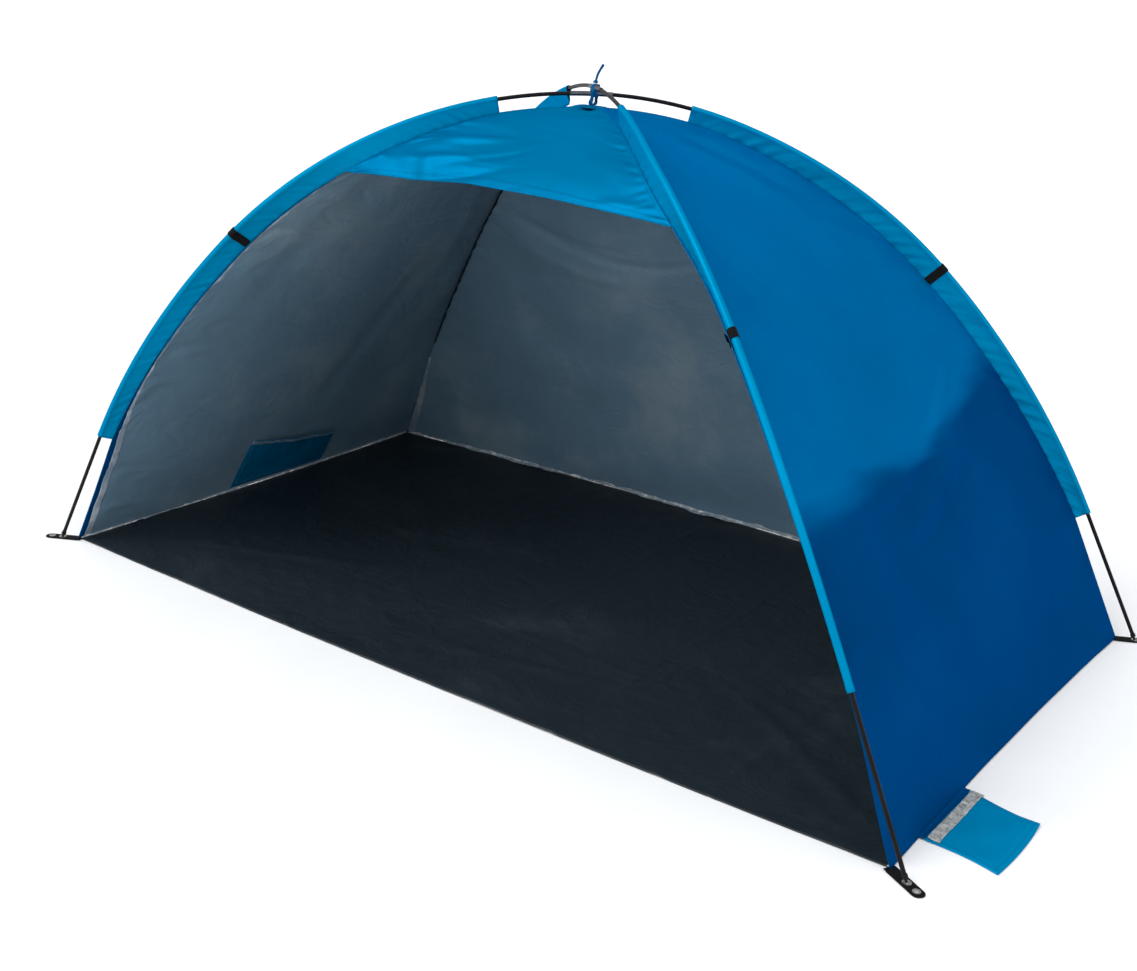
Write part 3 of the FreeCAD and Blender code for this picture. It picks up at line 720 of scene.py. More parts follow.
def cloth_material(name, colour, rough, crinkle=0.35, painted_shade=None):
    """Thin woven polyester: a fine weave, slubs, faint fading and shallow pressed-in creases.
    With painted_shade, shade is painted in: the colour is darker below a soft line that climbs towards the
    rear."""
    made = Shader(name, Metallic=0.30, Specular_IOR_Level=0.0, Specular_Tint=(0.0, 0.5, 1.0, 1.0))
    fading = made.grain(2.3, detail=6.0)
    tint = made.ramp(fading, ((0.30, shade(colour, 0.90)), (0.5, colour), (0.72, shade(colour, 1.10))))
    # Painted shade: below the soft line the cloth takes a darker colour that stands in for shade on the
    # lower walls.
    if painted_shade is not None:
        place = made.node("ShaderNodeSeparateXYZ", {"Vector": made.place.outputs["Object"]}).outputs
        behind = made.maths("MAXIMUM", made.maths("SUBTRACT", place["Y"], 0.05), 0.0)
        climb = made.maths("MULTIPLY", behind, PAINTED_SHADE_LINE_CLIMB)
        streaks = made.noise("Object", (1.0, 2.4, 15.0), 2.0, 0.4, 0.2)
        drift = made.range(streaks, -PAINTED_SHADE_LINE_DRIFT, PAINTED_SHADE_LINE_DRIFT)
        level = made.maths("ADD", made.maths("SUBTRACT", place["Z"], climb), drift)
        low, high = PAINTED_SHADE_LINE
        share = made.node("ShaderNodeMapRange", {"Value": level, "From Min": low, "From Max": high},
                          interpolation_type="SMOOTHSTEP").outputs[0]
        dark = made.ramp(fading, ((0.30, shade(painted_shade, 0.86)), (0.5, painted_shade), (0.72, shade(painted_shade, 1.14))))
        tint = made.mix(share, dark, tint)
    threads = made.maths("ADD", made.noise("UV", (900.0, 25.0, 1.0), 2.0),
                         made.noise("UV", (25.0, 900.0, 1.0), 2.0))
    slub = made.range(threads, 0.90, 1.10)
    slub_colour = made.node("ShaderNodeCombineColor", {"Red": slub, "Green": slub, "Blue": slub}).outputs[0]
    made.colour(made.mix(1.0, tint, slub_colour, "MULTIPLY"))
    made.roughness(made.range(made.grain(9.0, 5.0), rough - 0.09, rough + 0.10))
    folds = made.noise("Object", (8.0, 8.0, 11.0), detail=4.0, rough=0.5, distortion=0.5)
    made.bump(folds, crinkle, 0.008)
    fine = made.noise("Object", (60.0, 60.0, 70.0), detail=3.0, distortion=0.8)
    made.bump(fine, crinkle * 0.4, 0.0010)
    made.bump(made.weave(WEAVE, WEAVE), 0.16, 0.0002)
    return made.material


def coating_material(name, colour, light, rough=0.42, crinkle=0.36, patch=3.1):
    """Grey silvery coating on the inside of the cloth: smoother, with fine sharp wrinkles."""
    made = Shader(name, Metallic=0.08, Sheen_Weight=0.03, Sheen_Roughness=0.5, Specular_IOR_Level=0.35)
    patches = made.noise("Object", (patch, patch, patch), detail=7.0, rough=0.6)
    tint = made.ramp(patches, ((0.28, shade(colour, 0.88)), (0.5, colour), (0.68, light)))
    grain = made.noise("UV", (420.0, 420.0, 1.0), 3.0)
    made.colour(made.mix(made.range(grain, 0.0, 0.16), tint, light))
    made.roughness(made.range(made.grain(14.0, 5.0), rough - 0.10, rough + 0.12))
    folds = made.grain(9.0, detail=7.0, rough=0.66, distortion=2.2)
    made.bump(folds, crinkle, 0.010)
    made.bump(made.weave(WEAVE, WEAVE), 0.10, 0.0002)
    return made.material


def groundsheet_material(name, colour, light):
    """Woven polyethylene tape: a small basket weave, fold lines and dusty scuffs."""
    made = Shader(name, Specular_IOR_Level=0.30)
    dust = made.noise("Object", (2.0, 3.2, 2.0), detail=9.0, rough=0.68, distortion=0.7)
    tint = made.ramp(dust, ((0.35, shade(colour, 0.8)), (0.55, colour), (0.80, light)))
    scuffs = made.noise("Object", (18.0, 70.0, 18.0), detail=6.0, rough=0.7)
    scuffed = made.range(made.maths("POWER", scuffs, 4.0), 0.0, 0.9)
    made.colour(made.mix(scuffed, tint, light))
    made.roughness(made.range(dust, 0.34, 0.62))
    basket = made.weave(0.0030, 0.0030, "MULTIPLY")
    folds = made.noise("Object", (7.0, 9.0, 7.0), detail=6.0, rough=0.6, distortion=2.0)
    made.bump(folds, 0.45, 0.010)
    made.bump(basket, 0.35, 0.0004)
    return made.material


def webbing_material(name, colour):
    """Narrow woven strap: ribs across it, a herringbone along it and a slightly fuzzy edge."""
    made = Shader(name, Specular_IOR_Level=0.10)
    wear = made.grain(90.0, detail=5.0)
    made.colour(made.ramp(wear, ((0.3, shade(colour, 0.7)), (0.6, colour), (0.85, shade(colour, 2.2)))))
    made.roughness(made.range(wear, 0.62, 0.85))
    ribs = made.maths("ADD", made.bands("UV", 0.0016, "Y"), made.bands("UV", 0.0032, "X"))
    made.bump(ribs, 0.6, 0.0005)
    made.bump(made.grain(900.0, 2.0), 0.25, 0.0002)
    return made.material


def pole_material(name, colour):
    """Pultruded fibreglass: satin, with fine lengthwise streaks and rubbed spots."""
    made = Shader(name, Specular_IOR_Level=0.12)
    streaks = made.noise("Object", (350.0, 350.0, 40.0), detail=3.0)
    rubbed = made.grain(22.0, detail=6.0, rough=0.7)
    tint = made.ramp(rubbed, ((0.35, colour), (0.62, shade(colour, 1.5)), (0.85, shade(colour, 4.0))))
    made.colour(tint)
    made.roughness(made.range(streaks, 0.25, 0.48))
    made.bump(streaks, 0.12, 0.0002)
    return made.material


def metal_material(name, colour, rough):
    """Plated steel: bright, with turning marks and dull patches."""
    made = Shader(name, Metallic=1.0)
    patches = made.grain(160.0, detail=6.0, rough=0.65)
    made.colour(made.ramp(patches, ((0.3, shade(colour, 0.72)), (0.6, colour), (0.85, shade(colour, 1.15)))))
    made.roughness(made.range(patches, rough - 0.08, rough + 0.14))
    made.bump(made.noise("Object", (1200.0, 1200.0, 150.0), 3.0), 0.15, 0.0001)
    return made.material


def plastic_material(name, colour):
    """Moulded black plastic with a fine spark-eroded grain and pale rubbed edges."""
    made = Shader(name, Specular_IOR_Level=0.15)
    grain = made.grain(1400.0, detail=2.0)
    scuffs = made.grain(70.0, detail=7.0, rough=0.7)
    made.colour(made.ramp(scuffs, ((0.4, colour), (0.7, shade(colour, 1.8)), (0.9, shade(colour, 4.5)))))
    made.roughness(made.range(scuffs, 0.42, 0.66))
    made.bump(grain, 0.25, 0.0002)
    return made.material


def pile_material(name, colour):
    """Grey loop pile: soft, mottled and matt."""
    made = Shader(name, Sheen_Weight=0.1, Sheen_Roughness=0.6, Specular_IOR_Level=0.1)
    mottle = made.grain(85.0, detail=8.0, rough=0.75)
    made.colour(made.ramp(mottle, ((0.34, shade(colour, 0.40)), (0.5, colour), (0.66, shade(colour, 1.8)))))
    made.roughness(made.range(mottle, 0.75, 0.95))
    made.bump(mottle, 0.6, 0.0010)
    return made.material


def thread_material(name, colour):
    """Twisted sewing thread."""
    made = Shader(name, Specular_IOR_Level=0.15)
    twist = made.grain(900.0, detail=2.0)
    made.colour(made.ramp(twist, ((0.3, shade(colour, 0.7)), (0.7, shade(colour, 1.2)))))
    made.roughness(made.range(twist, 0.55, 0.75))
    return made.material


def floor_material():
    """Pale studio floor with a barely visible grain."""
    made = Shader("studio_floor", Specular_IOR_Level=0.2)
    grain = made.grain(3.0, detail=5.0)
    made.colour(made.ramp(grain, ((0.3, (0.86, 0.87, 0.88)), (0.7, (0.89, 0.90, 0.91)))))
    made.roughness(made.range(grain, 0.75, 0.9))
    return made.material


TURQUOISE = cloth_material("turquoise_cloth", (0.0, 0.128, 0.276), rough=0.34, crinkle=0.22)
LIT_TURQUOISE = cloth_material("turquoise_cloth_lit_through", (0.0, 0.185, 0.370), rough=0.36, crinkle=0.22)
# Royal blue cloth with painted shade: its deep colour stands in for shade on the lower walls.
ROYAL_BLUE = cloth_material("royal_blue_cloth", (0.0, 0.113, 0.300), rough=0.38, crinkle=0.16,
                            painted_shade=(0.0, 0.046, 0.160))
# Uniform darker copy for the rear wall: its colour lies between the lit tone and the painted shade of the
# end walls.
PLAIN_ROYAL_BLUE = cloth_material("royal_blue_cloth_rear", (0.0, 0.080, 0.230), rough=0.38, crinkle=0.16)
COATING = coating_material("silver_grey_coating", (0.120, 0.215, 0.300), (0.200, 0.285, 0.350))
HEM_COATING = coating_material("pale_hem_coating", (0.20, 0.27, 0.35), (0.50, 0.55, 0.60), 0.36, 0.30,
                               patch=16.0)
# Creased silver coating: its pale grey is the coating's own, its white is painted glints.
COATING_WITH_PAINTED_GLINTS = coating_material("creased_coating_painted_glints", (0.34, 0.42, 0.48), (1.0, 1.0, 1.0), 0.3, 0.8,
                                  patch=48.0)
# Near-black colour: painted shade along the upper part of the rear corner seams.
SEAM_STRIP_PAINTED_SHADE = cloth_material("seam_allowance_painted_shade", (0.010, 0.022, 0.034), rough=0.5)
GROUNDSHEET = groundsheet_material("woven_polyethylene", (0.008, 0.014, 0.019), (0.026, 0.038, 0.047))
WEBBING = webbing_material("black_webbing", (0.005, 0.005, 0.006))
RIBBON = webbing_material("blue_ribbon", (0.0, 0.095, 0.26))
FIBREGLASS = pole_material("black_fibreglass", (0.004, 0.004, 0.0045))
STEEL = metal_material("blackened_steel", (0.12, 0.12, 0.13), 0.34)
EYELET = metal_material("eyelet_metal", (0.55, 0.52, 0.47), 0.34)
PLASTIC = plastic_material("moulded_plastic", (0.006, 0.006, 0.0065))
PILE = pile_material("loop_pile", (0.33, 0.35, 0.355))
BLUE_THREAD = thread_material("blue_thread", (0.0, 0.12, 0.28))
GREY_THREAD = thread_material("grey_thread", (0.16, 0.19, 0.22))
BLACK_THREAD = thread_material("black_thread", (0.012, 0.012, 0.013))
CORD = webbing_material("braided_cord", (0.05, 0.05, 0.05))


# ---------------------------------------------------------------- canopy

def panel_frame(name, along):
    """Seam points at a fraction of the way down, and the offset of the middle between them."""
    first, second, sag, foot_bow, out = PANELS[name]
    ends = []
    for corner in (first, second):
        end = AWNING_DROP if name == "front_awning" else FOOT[corner]
        ends.append(PANEL_TOP + (end - PANEL_TOP) * along)
    a, b = seam_point(first, ends[0]), seam_point(second, ends[1])
    ahead = (seam_point(first, ends[0] + 0.001) + seam_point(second, ends[1] + 0.001)) / 2
    down = unit(ahead - (a + b) / 2)
    normal = unit(np.cross(b - a, down))
    if normal @ (np.array(out) + UP) < 0:
        normal = -normal
    offset = normal * (sag * math.sin(math.pi * along))
    if name == "front_awning":
        offset = offset - down * (AWNING_HEM_RISE * along ** 3)
    else:
        offset = offset + np.array(out) * (foot_bow * along ** 4)
    return a, b, offset


def spread(count):
    """Places across a panel, closer together near its seams."""
    even = np.linspace(-1.0, 1.0, count)
    return even * 0.55 + np.sin(even * math.pi / 2) * 0.45


def panel_grid(name, rows, places):
    """Smooth points of a panel, in rows from its first seam to its second."""
    grid = np.empty((rows, len(places), 3))
    for number, along in enumerate(np.linspace(0.0, 1.0, rows)):
        a, b, offset = panel_frame(name, along)
        grid[number] = (a + b) / 2 + (b - a) / 2 * places[:, None] + offset * (1 - places[:, None] ** 2)
    return grid


def seam_puckers(run, off, seed):
    """Small gathers that a sewn seam pulls into the cloth beside it, slanting and fading away from it."""
    slow, quick = waves(seed, 5, 0.10, 0.30), waves(seed + 1, 6, 0.022, 0.05)
    lean = run + off * (0.8 + 0.5 * slow(run, 0))
    near = np.exp(-off / PUCKER_REACH) * PUCKER * quick(lean, off * 0.2)
    broad = np.exp(-off / BROAD_PUCKER_REACH) * PUCKER * 1.7 * slow(lean * 1.3, off * 0.3)
    return near + broad


def panel_relief(grid, seed, folds):
    """Outward height of a panel's soft folds: seam puckers, broad waves and the named long folds."""
    lengths = grid_lengths(grid)
    across, along = lengths[..., 0], lengths[..., 1]
    from_first = across - across[:, :1]
    from_second = across[:, -1:] - across
    free = np.minimum(smooth(0, FOLD_CLEAR, from_first), smooth(0, FOLD_CLEAR, from_second))
    free = free * smooth(0.0, FOLD_BELOW_TOP, along)
    relief = seam_puckers(along, from_first, seed) + seam_puckers(along, from_second, seed + 7)
    relief = relief + SWELL * free * waves(seed + 20, 7, 0.22, 0.7)(across, along)
    for start, end, width, height in folds:
        relief = relief + free * crease(across, along, start, end, width, height)
    held = smooth(0.0, SEAM_HOLD, from_first) * smooth(0.0, SEAM_HOLD, from_second)
    return relief * held


# Long folds of each panel: start and end (across from its middle, down from its top), width, height
FOLDS = {
    "left_end_wall": (
        ((-0.10, 0.30), (-0.35, 1.10), 0.050, 0.006), ((0.30, 0.90), (0.10, 1.45), 0.045, 0.005),
        ((0.25, 0.55), (0.38, 1.00), 0.035, -0.005),
    ),
    "right_end_wall": (
        ((-0.45, 1.17), (0.44, 1.02), 0.060, 0.013), ((-0.26, 1.17), (0.26, 1.02), 0.022, -0.008),
        ((-0.22, 1.13), (0.30, 0.97), 0.018, 0.0065), ((-0.18, 1.20), (0.27, 1.07), 0.018, 0.0060),
        ((-0.08, 1.09), (0.30, 0.95), 0.018, -0.0055), ((-0.15, 1.24), (0.22, 1.12), 0.020, -0.006),
        ((0.06, 0.16), (0.31, 0.56), 0.017, 0.006), ((0.03, 0.17), (0.25, 0.52), 0.018, -0.006),
        ((-0.02, 0.20), (0.18, 0.50), 0.020, 0.006), ((0.09, 0.20), (0.36, 0.66), 0.016, -0.005),
        ((0.05, 1.30), (0.30, 1.62), 0.045, 0.006), ((-0.45, 1.40), (-0.20, 1.70), 0.040, 0.006),
    ),
    "rear_wall": (
        ((-0.75, 1.10), (-0.20, 0.95), 0.060, 0.006), ((0.20, 0.75), (0.75, 1.20), 0.050, 0.006),
        ((-0.62, 0.80), (-0.16, 0.60), 0.016, 0.005), ((-0.58, 0.84), (-0.08, 0.66), 0.018, -0.004),
        ((-0.50, 0.74), (0.10, 0.56), 0.012, 0.004), ((0.70, 1.55), (0.25, 1.20), 0.035, 0.006),
        ((0.85, 1.35), (0.55, 1.25), 0.020, 0.003), ((-0.95, 1.60), (-0.55, 1.30), 0.035, 0.004),
    ),
    "front_awning": (
        ((-0.33, 0.455), (-0.05, 0.285), 0.012, 0.0085), ((-0.31, 0.475), (-0.02, 0.32), 0.011, -0.0070),
        ((-0.26, 0.360), (-0.04, 0.215), 0.010, 0.0062), ((-0.22, 0.50), (0.04, 0.385), 0.011, 0.0058),
        ((-0.21, 0.39), (0.02, 0.24), 0.009, -0.005), ((0.24, 0.44), (0.37, 0.52), 0.009, 0.005),
        ((0.06, 0.50), (0.24, 0.50), 0.014, 0.004),
    ),
}


def relief_grid(name, rows, columns, seed):
    """Points of a panel with its folds."""
    grid = panel_grid(name, rows, spread(columns))
    normal, _ = grid_normals(grid, out_of(name) + UP)
    relief = panel_relief(grid, seed, FOLDS[name])
    along = grid_lengths(grid)[..., 1]
    if name != "front_awning":
        relief = relief * (1 - 0.8 * smooth(-FOOT_HOLD, 0.0, along - along[-1:]))
    return grid + normal * relief[..., None]


def hem_thickness(grid):
    """Cloth thickness of a panel that is turned up and sewn along its lower edge."""
    along = grid_lengths(grid)[..., 1]
    return CLOTH + AWNING_HEM_EXTRA * (1 - smooth(AWNING_HEM * 0.92, AWNING_HEM, along[-1:] - along))


# Rows, columns and seed of each panel's grid
GRID_SIZES = {
    "left_end_wall": (260, 190, 11), "right_end_wall": (300, 240, 31),
    "rear_wall": (250, 230, 51), "front_awning": (130, 210, 71),
}
PANEL_GRIDS = {name: relief_grid(name, *size) for name, size in GRID_SIZES.items()}


def flat_size(grid):
    """Greatest width and length of the flat cloth that a grid was cut from."""
    lengths = grid_lengths(grid)
    return float(np.ptp(lengths[..., 0], axis=1).max()), float(lengths[..., 1].max())


def declare_sheet(grid):
    """Works out the flat width and length of the cloth that a grid was cut from; nothing is kept."""
    width, length = flat_size(grid)
    width, length = max(width, NARROWEST_SHEET), max(length, NARROWEST_SHEET)


def make_canopy():
    """The four cloth panels: coloured outside, coated inside, and the awning with a turned hem."""
    for name, (first, second, *_) in PANELS.items():
        grid = PANEL_GRIDS[name]
        outside = {"front_awning": TURQUOISE, "rear_wall": PLAIN_ROYAL_BLUE}.get(name, ROYAL_BLUE)
        thickness = hem_thickness(grid) if name == "front_awning" else CLOTH
        piece = add_sheet(f"canopy_{name}", grid, thickness, out_of(name) + UP, [outside, COATING],
                          "shelter")
        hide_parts(name)
        declare_sheet(grid)


make_canopy()


# ---------------------------------------------------------------- sleeves

def teardrop_ring(corner, distance, radius, edge_half, width, ripple):
    """Closed ring round the pole that narrows to a flat edge at the seam, rippled on its two faces."""
    point, across, face = fin_frame(corner, distance)
    turns = np.linspace(math.pi / 2, 3 * math.pi / 2, NOSE_POINTS)
    ring = [point + across * (radius * math.cos(turn)) + face * (radius * math.sin(turn)) for turn in turns]
    flat = np.linspace(0.0, 1.0, SIDE_POINTS)[1:]
    for sign, steps in ((-1, flat), (1, flat[::-1])):
        for step in steps:
            out = radius + (edge_half - radius) * step ** 0.7
            wave = ripple(distance, step * width) * math.sin(math.pi * min(1.0, step * 0.62))
            ring.append(point + across * (width * step) + face * (sign * out + wave))
    return ring


def tie_distance(corner):
    return distance_at_height(lambda d: arch_point(corner, d), SLEEVE_TOP, leg_top(corner), TIE_HEIGHT)


def make_sleeve(corner, number):
    """Cloth tube sewn along the seam, gathered a little, with a turned hem at each end."""
    start, end = SLEEVE_TOP, leg_top(corner)
    slow, quick = waves(100 + number, 5, 0.09, 0.25), waves(120 + number, 6, 0.018, 0.040)
    strong = 0.0017 if corner == "rear_right" else 0.0010
    tied = tie_distance(corner)

    def ripple(distance, off):
        lean = distance + off * 1.2
        squeezed = 1 - math.exp(-((distance - tied) / TIE_SQUEEZE) ** 2)
        return squeezed * strong * (0.6 * slow(lean, 0.0) + 0.8 * quick(lean, off * 0.3))

    outer, inner = [], []
    for distance in np.linspace(start, end, SLEEVE_RINGS):
        hem = 1 - smooth(*SLEEVE_HEM, np.minimum(distance - start, end - distance))
        width = sleeve_width(corner, distance) + 0.001
        skin = CLOTH + 0.0006 * hem
        outer.append(teardrop_ring(corner, distance, SLEEVE_RADIUS + 0.0003 * hem, 0.0011, width, ripple))
        inner.append(teardrop_ring(corner, distance, SLEEVE_RADIUS - skin, 0.0003, width - skin, ripple))
    outer, inner = np.array(outer), np.array(inner)
    piece = add_tube(f"pole_sleeve_{corner}", outer, inner, [LIT_TURQUOISE, LIT_TURQUOISE], "shelter")
    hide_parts(f"sleeve_{corner}")


for number, corner in enumerate(CORNERS):
    make_sleeve(corner, number)


# ---------------------------------------------------------------- webbing ties

def mesh_points(mesh):
    points = np.empty(len(mesh.vertices) * 3)
    mesh.vertices.foreach_get("co", points)
    return points.reshape(-1, 3)


def joint_named(name):
    return next(joint for joint in frame["joints"] if joint["name"] == name)


def make_tie(corner, number):
    """Webbing band drawn tight round the sleeve."""
    distance = tie_distance(corner)
    wobble = waves(200 + number, 4, 0.02, 0.08)
    width = sleeve_width(corner, distance) - 0.0015

    def sway(along, off):
        return 0.0002 * wobble(along * 3, off)

    outer, inner = [], []
    for place in np.linspace(-TIE_WIDTH / 2, TIE_WIDTH / 2, 15):
        edge = smooth(TIE_WIDTH / 2 - 0.0012, TIE_WIDTH / 2, abs(place))
        skin = TIE_THICKNESS * (1 - 0.45 * edge)
        station = distance + place
        outer.append(teardrop_ring(corner, station, TIE_INNER_RADIUS + skin, TIE_INNER_EDGE + skin,
                                   width + skin, sway))
        inner.append(teardrop_ring(corner, station, TIE_INNER_RADIUS, TIE_INNER_EDGE, width, sway))
    piece = add_tube(f"webbing_band_{corner}", np.array(outer), np.array(inner), [WEBBING, WEBBING],
                     "shelter")
    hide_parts(f"sleeve_tie_{corner}")


def make_tie_tail(corner):
    """Loose end of a webbing tie: it peels away from the band at its root."""
    joint = joint_named(f"tie_open_{corner}")
    start, axis = np.array(joint["pos_m"]), unit(np.array(joint["axis"]))
    points = mesh_points(frame["nodes"][f"tie_tail_{corner}"].data)
    toward = points.mean(axis=0) - start
    toward = unit(toward - axis * (toward @ axis))
    opening = unit(np.cross(axis, toward))
    reach = float(((points - start) @ toward).max())
    steps = np.linspace(0.0, 1.0, 22)
    lift = 0.0006 + 0.0022 * steps ** 3 - 0.0016 * np.sin(math.pi * steps)
    centres = start + toward * (steps * reach)[:, None] + opening * lift[:, None]
    ups = np.array([unit(opening - toward * 0.12 * step) for step in steps])
    piece = add_sweep(f"webbing_end_{corner}", centres, np.tile(axis, (len(steps), 1)), ups,
                      TIE_TAIL_WIDTH, TIE_TAIL_THICKNESS, [WEBBING], f"tie_end_{corner}")
    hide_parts(f"tie_tail_{corner}")
    raised = centres + ups * 0.0007
    edges = (-TIE_TAIL_STITCH, TIE_TAIL_STITCH)
    rows = [(raised[2:-2] + axis * off, ups[2:-2]) for off in edges]
    for place in (3, -4):
        rows.append((np.array([raised[place] + axis * off for off in edges]), ups[[place, place]]))
    add_stitches(f"stitches_webbing_end_{corner}", rows, BLACK_THREAD, f"tie_end_{corner}",
                 BAND_STITCH)


for number, corner in enumerate(CORNERS):
    make_tie(corner, number)
    make_tie_tail(corner)


# ---------------------------------------------------------------- corner tabs

def tab_outline(start, end, half):
    """Strap outline along +X with a rounded outer end."""
    turns = np.linspace(-math.pi / 2, math.pi / 2, 25)
    nose = [(end - half + half * math.cos(turn), half * math.sin(turn)) for turn in turns]
    return [(start, -half)] + nose + [(start, half)]


def ring_outline(centre, radius):
    return [(centre + radius * math.cos(turn), radius * math.sin(turn)) for turn in full_turn(HOLE_SIDES)]


def plate_mesh(name, outlines, thickness, bevel):
    """Flat plate from closed outlines, of which the inner ones are holes, with rounded edges."""
    curve = bpy.data.curves.new(name, "CURVE")
    curve.dimensions = "2D"
    curve.fill_mode = "BOTH"
    curve.extrude = thickness / 2 - bevel
    curve.bevel_depth = bevel
    curve.bevel_resolution = 2
    for outline in outlines:
        spline = curve.splines.new("POLY")
        spline.points.add(len(outline) - 1)
        for point, (x, y) in zip(spline.points, outline):
            point.co = (x, y, 0.0, 1.0)
        spline.use_cyclic_u = True
    holder = bpy.data.objects.new(name, curve)
    mesh = bpy.data.meshes.new_from_object(holder)
    bpy.data.objects.remove(holder)
    bpy.data.curves.remove(curve)
    points = mesh_points(mesh)
    faces = [list(polygon.vertices) for polygon in mesh.polygons]
    bpy.data.meshes.remove(mesh)
    return points, faces


def welded(points, faces):
    """The same faces with doubled points merged."""
    _, order, where = np.unique(np.round(points, 7), axis=0, return_index=True, return_inverse=True)
    where = where.reshape(-1)
    joined = [[int(where[number]) for number in face] for face in faces]
    return points[order], [face for face in joined if len(set(face)) == len(face)]


def make_corner_tab(corner):
    """Doubled webbing tab with a pole eyelet, a peg eyelet and box stitching."""
    eyelet_low, eyelet_high = box_of(f"peg_eyelet_{corner}")
    peg_reach = float(np.linalg.norm(((eyelet_low + eyelet_high) / 2)[:2]))
    outward = outward_of(corner)
    side = np.array([-outward[1], outward[0], 0.0])
    end = peg_reach + TAB_PAST_PEG
    turned = np.array([outward, side, UP])
    for layer, (start, height) in enumerate(zip(TAB_STARTS, TAB_LAYER_HEIGHTS)):
        outlines = [tab_outline(start, end - 0.0004 * layer, TAB_WIDTH / 2 - 0.0003 * layer),
                    ring_outline(peg_reach, PEG_HOLE),
                    ring_outline(peg_reach - TAB_EYELET_SPACING, POLE_HOLE)]
        points, faces = welded(*plate_mesh(f"tab_{corner}_{layer}", outlines, TAB_LAYER, TAB_BEVEL))
        uvs = points[:, [1, 0]]
        placed = points @ turned + UP * height
        tidy_normals(add_piece(f"webbing_tab_{corner}_layer_{layer + 1}", placed, faces,
                                             [WEBBING], "shelter", uvs))
    rows = []
    for off in (-TAB_STITCH_OFF, TAB_STITCH_OFF):
        path = np.array([outward * reach + side * off + UP * TAB_STITCH_HEIGHT
                         for reach in np.linspace(TAB_STITCH_STARTS[0], end - 0.014, 20)])
        rows.append((path, np.tile(UP, (20, 1))))
    for reach in TAB_STITCH_STARTS:
        path = np.array([outward * reach + side * off + UP * TAB_STITCH_HEIGHT
                         for off in (-TAB_STITCH_OFF, 0.0, TAB_STITCH_OFF)])
        rows.append((path, np.tile(UP, (3, 1))))
    add_stitches(f"stitches_tab_{corner}", rows, BLACK_THREAD, "shelter",
                 TAB_STITCH)
    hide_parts(f"corner_tab_{corner}")


for corner in CORNERS:
    make_corner_tab(corner)


# ---------------------------------------------------------------- groundsheet

# Long soft creases of the floor: start, end and height
FLOOR_CREASES = (
    ((-1.05, -0.52), (-0.35, -0.20), 0.004), ((1.04, -0.52), (0.50, -0.18), 0.005),
    ((0.35, -0.10), (0.95, -0.32), 0.0035), ((-0.9, 0.1), (-0.3, -0.1), 0.003),
    ((-0.2, -0.5), (0.5, -0.34), 0.003),
)


def make_groundsheet():
    """Floor with bowed edges, pressed fold lines and shallow wrinkles, and a turned hem."""
    bow_front = -FLOOR_LOW[1] - (HALF_DEPTH - SEAM_GAP)
    bow_rear = FLOOR_HIGH[1] - (HALF_DEPTH - SEAM_GAP)
    u = np.linspace(-1, 1, 300)[None, :]
    v = np.linspace(-1, 1, 170)[:, None]
    x = u * (HALF_LENGTH - SEAM_GAP - FLOOR_SIDE_BOW * (1 - v ** 2))
    y = v * (HALF_DEPTH - SEAM_GAP) + (1 - u ** 2) * (bow_rear * (1 + v) - bow_front * (1 - v)) / 2
    from_edge = np.minimum(HALF_LENGTH - np.abs(x), HALF_DEPTH + 0.03 * (1 - u ** 2) - y)
    free = smooth(0.02, 0.12, from_edge)
    broad, fine = waves(300, 8, 0.25, 0.8), waves(301, 9, 0.05, 0.16)
    wrinkles = 0.0026 * np.clip(broad(x, y) + 0.15, 0, None) + 0.0009 * np.clip(fine(x, y), 0, None)
    for fold_x in FLOOR_FOLDS_ACROSS:
        wrinkles = wrinkles + 0.0016 * np.exp(-((x - fold_x - 0.004 * broad(y, 0.0)) / 0.005) ** 2)
    for fold_y in FLOOR_FOLDS_ALONG:
        wrinkles = wrinkles + 0.0014 * np.exp(-((y - fold_y - 0.004 * broad(x, 1.0)) / 0.005) ** 2)
    for start, end, height in FLOOR_CREASES:
        wrinkles = wrinkles + np.abs(crease(x, y, start, end, 0.022, height))
    front_lift = 0.0016 * np.clip(waves(303, 5, 0.15, 0.5)(x, 0.0 * y), 0, None) * np.exp(-(v + 1) / 0.05)
    z = 0.0011 + free * wrinkles + front_lift
    grid = np.stack([x, y, z], axis=2)
    edge = np.minimum(HALF_LENGTH - np.abs(grid[..., 0]), np.abs((1 - np.abs(v)) * HALF_DEPTH))
    thickness = FLOOR_THICKNESS * (2 - smooth(*FLOOR_HEM, edge))
    piece = add_sheet("floor_sheet", grid, thickness, (0, 0, 1), [GROUNDSHEET], "shelter")
    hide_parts("groundsheet")
    declare_sheet(grid)
    front = grid[4] + UP * 0.0008
    add_stitches("stitches_floor_front", [(front, np.tile(UP, (len(front), 1)))], BLACK_THREAD, "shelter",
                 FLOOR_STITCH)


make_groundsheet()


# ---------------------------------------------------------------- seams inside the cabin

def add_strip(name, grid, thickness, outward, material):
    return add_sheet(name, grid, thickness, outward, [material], "shelter")


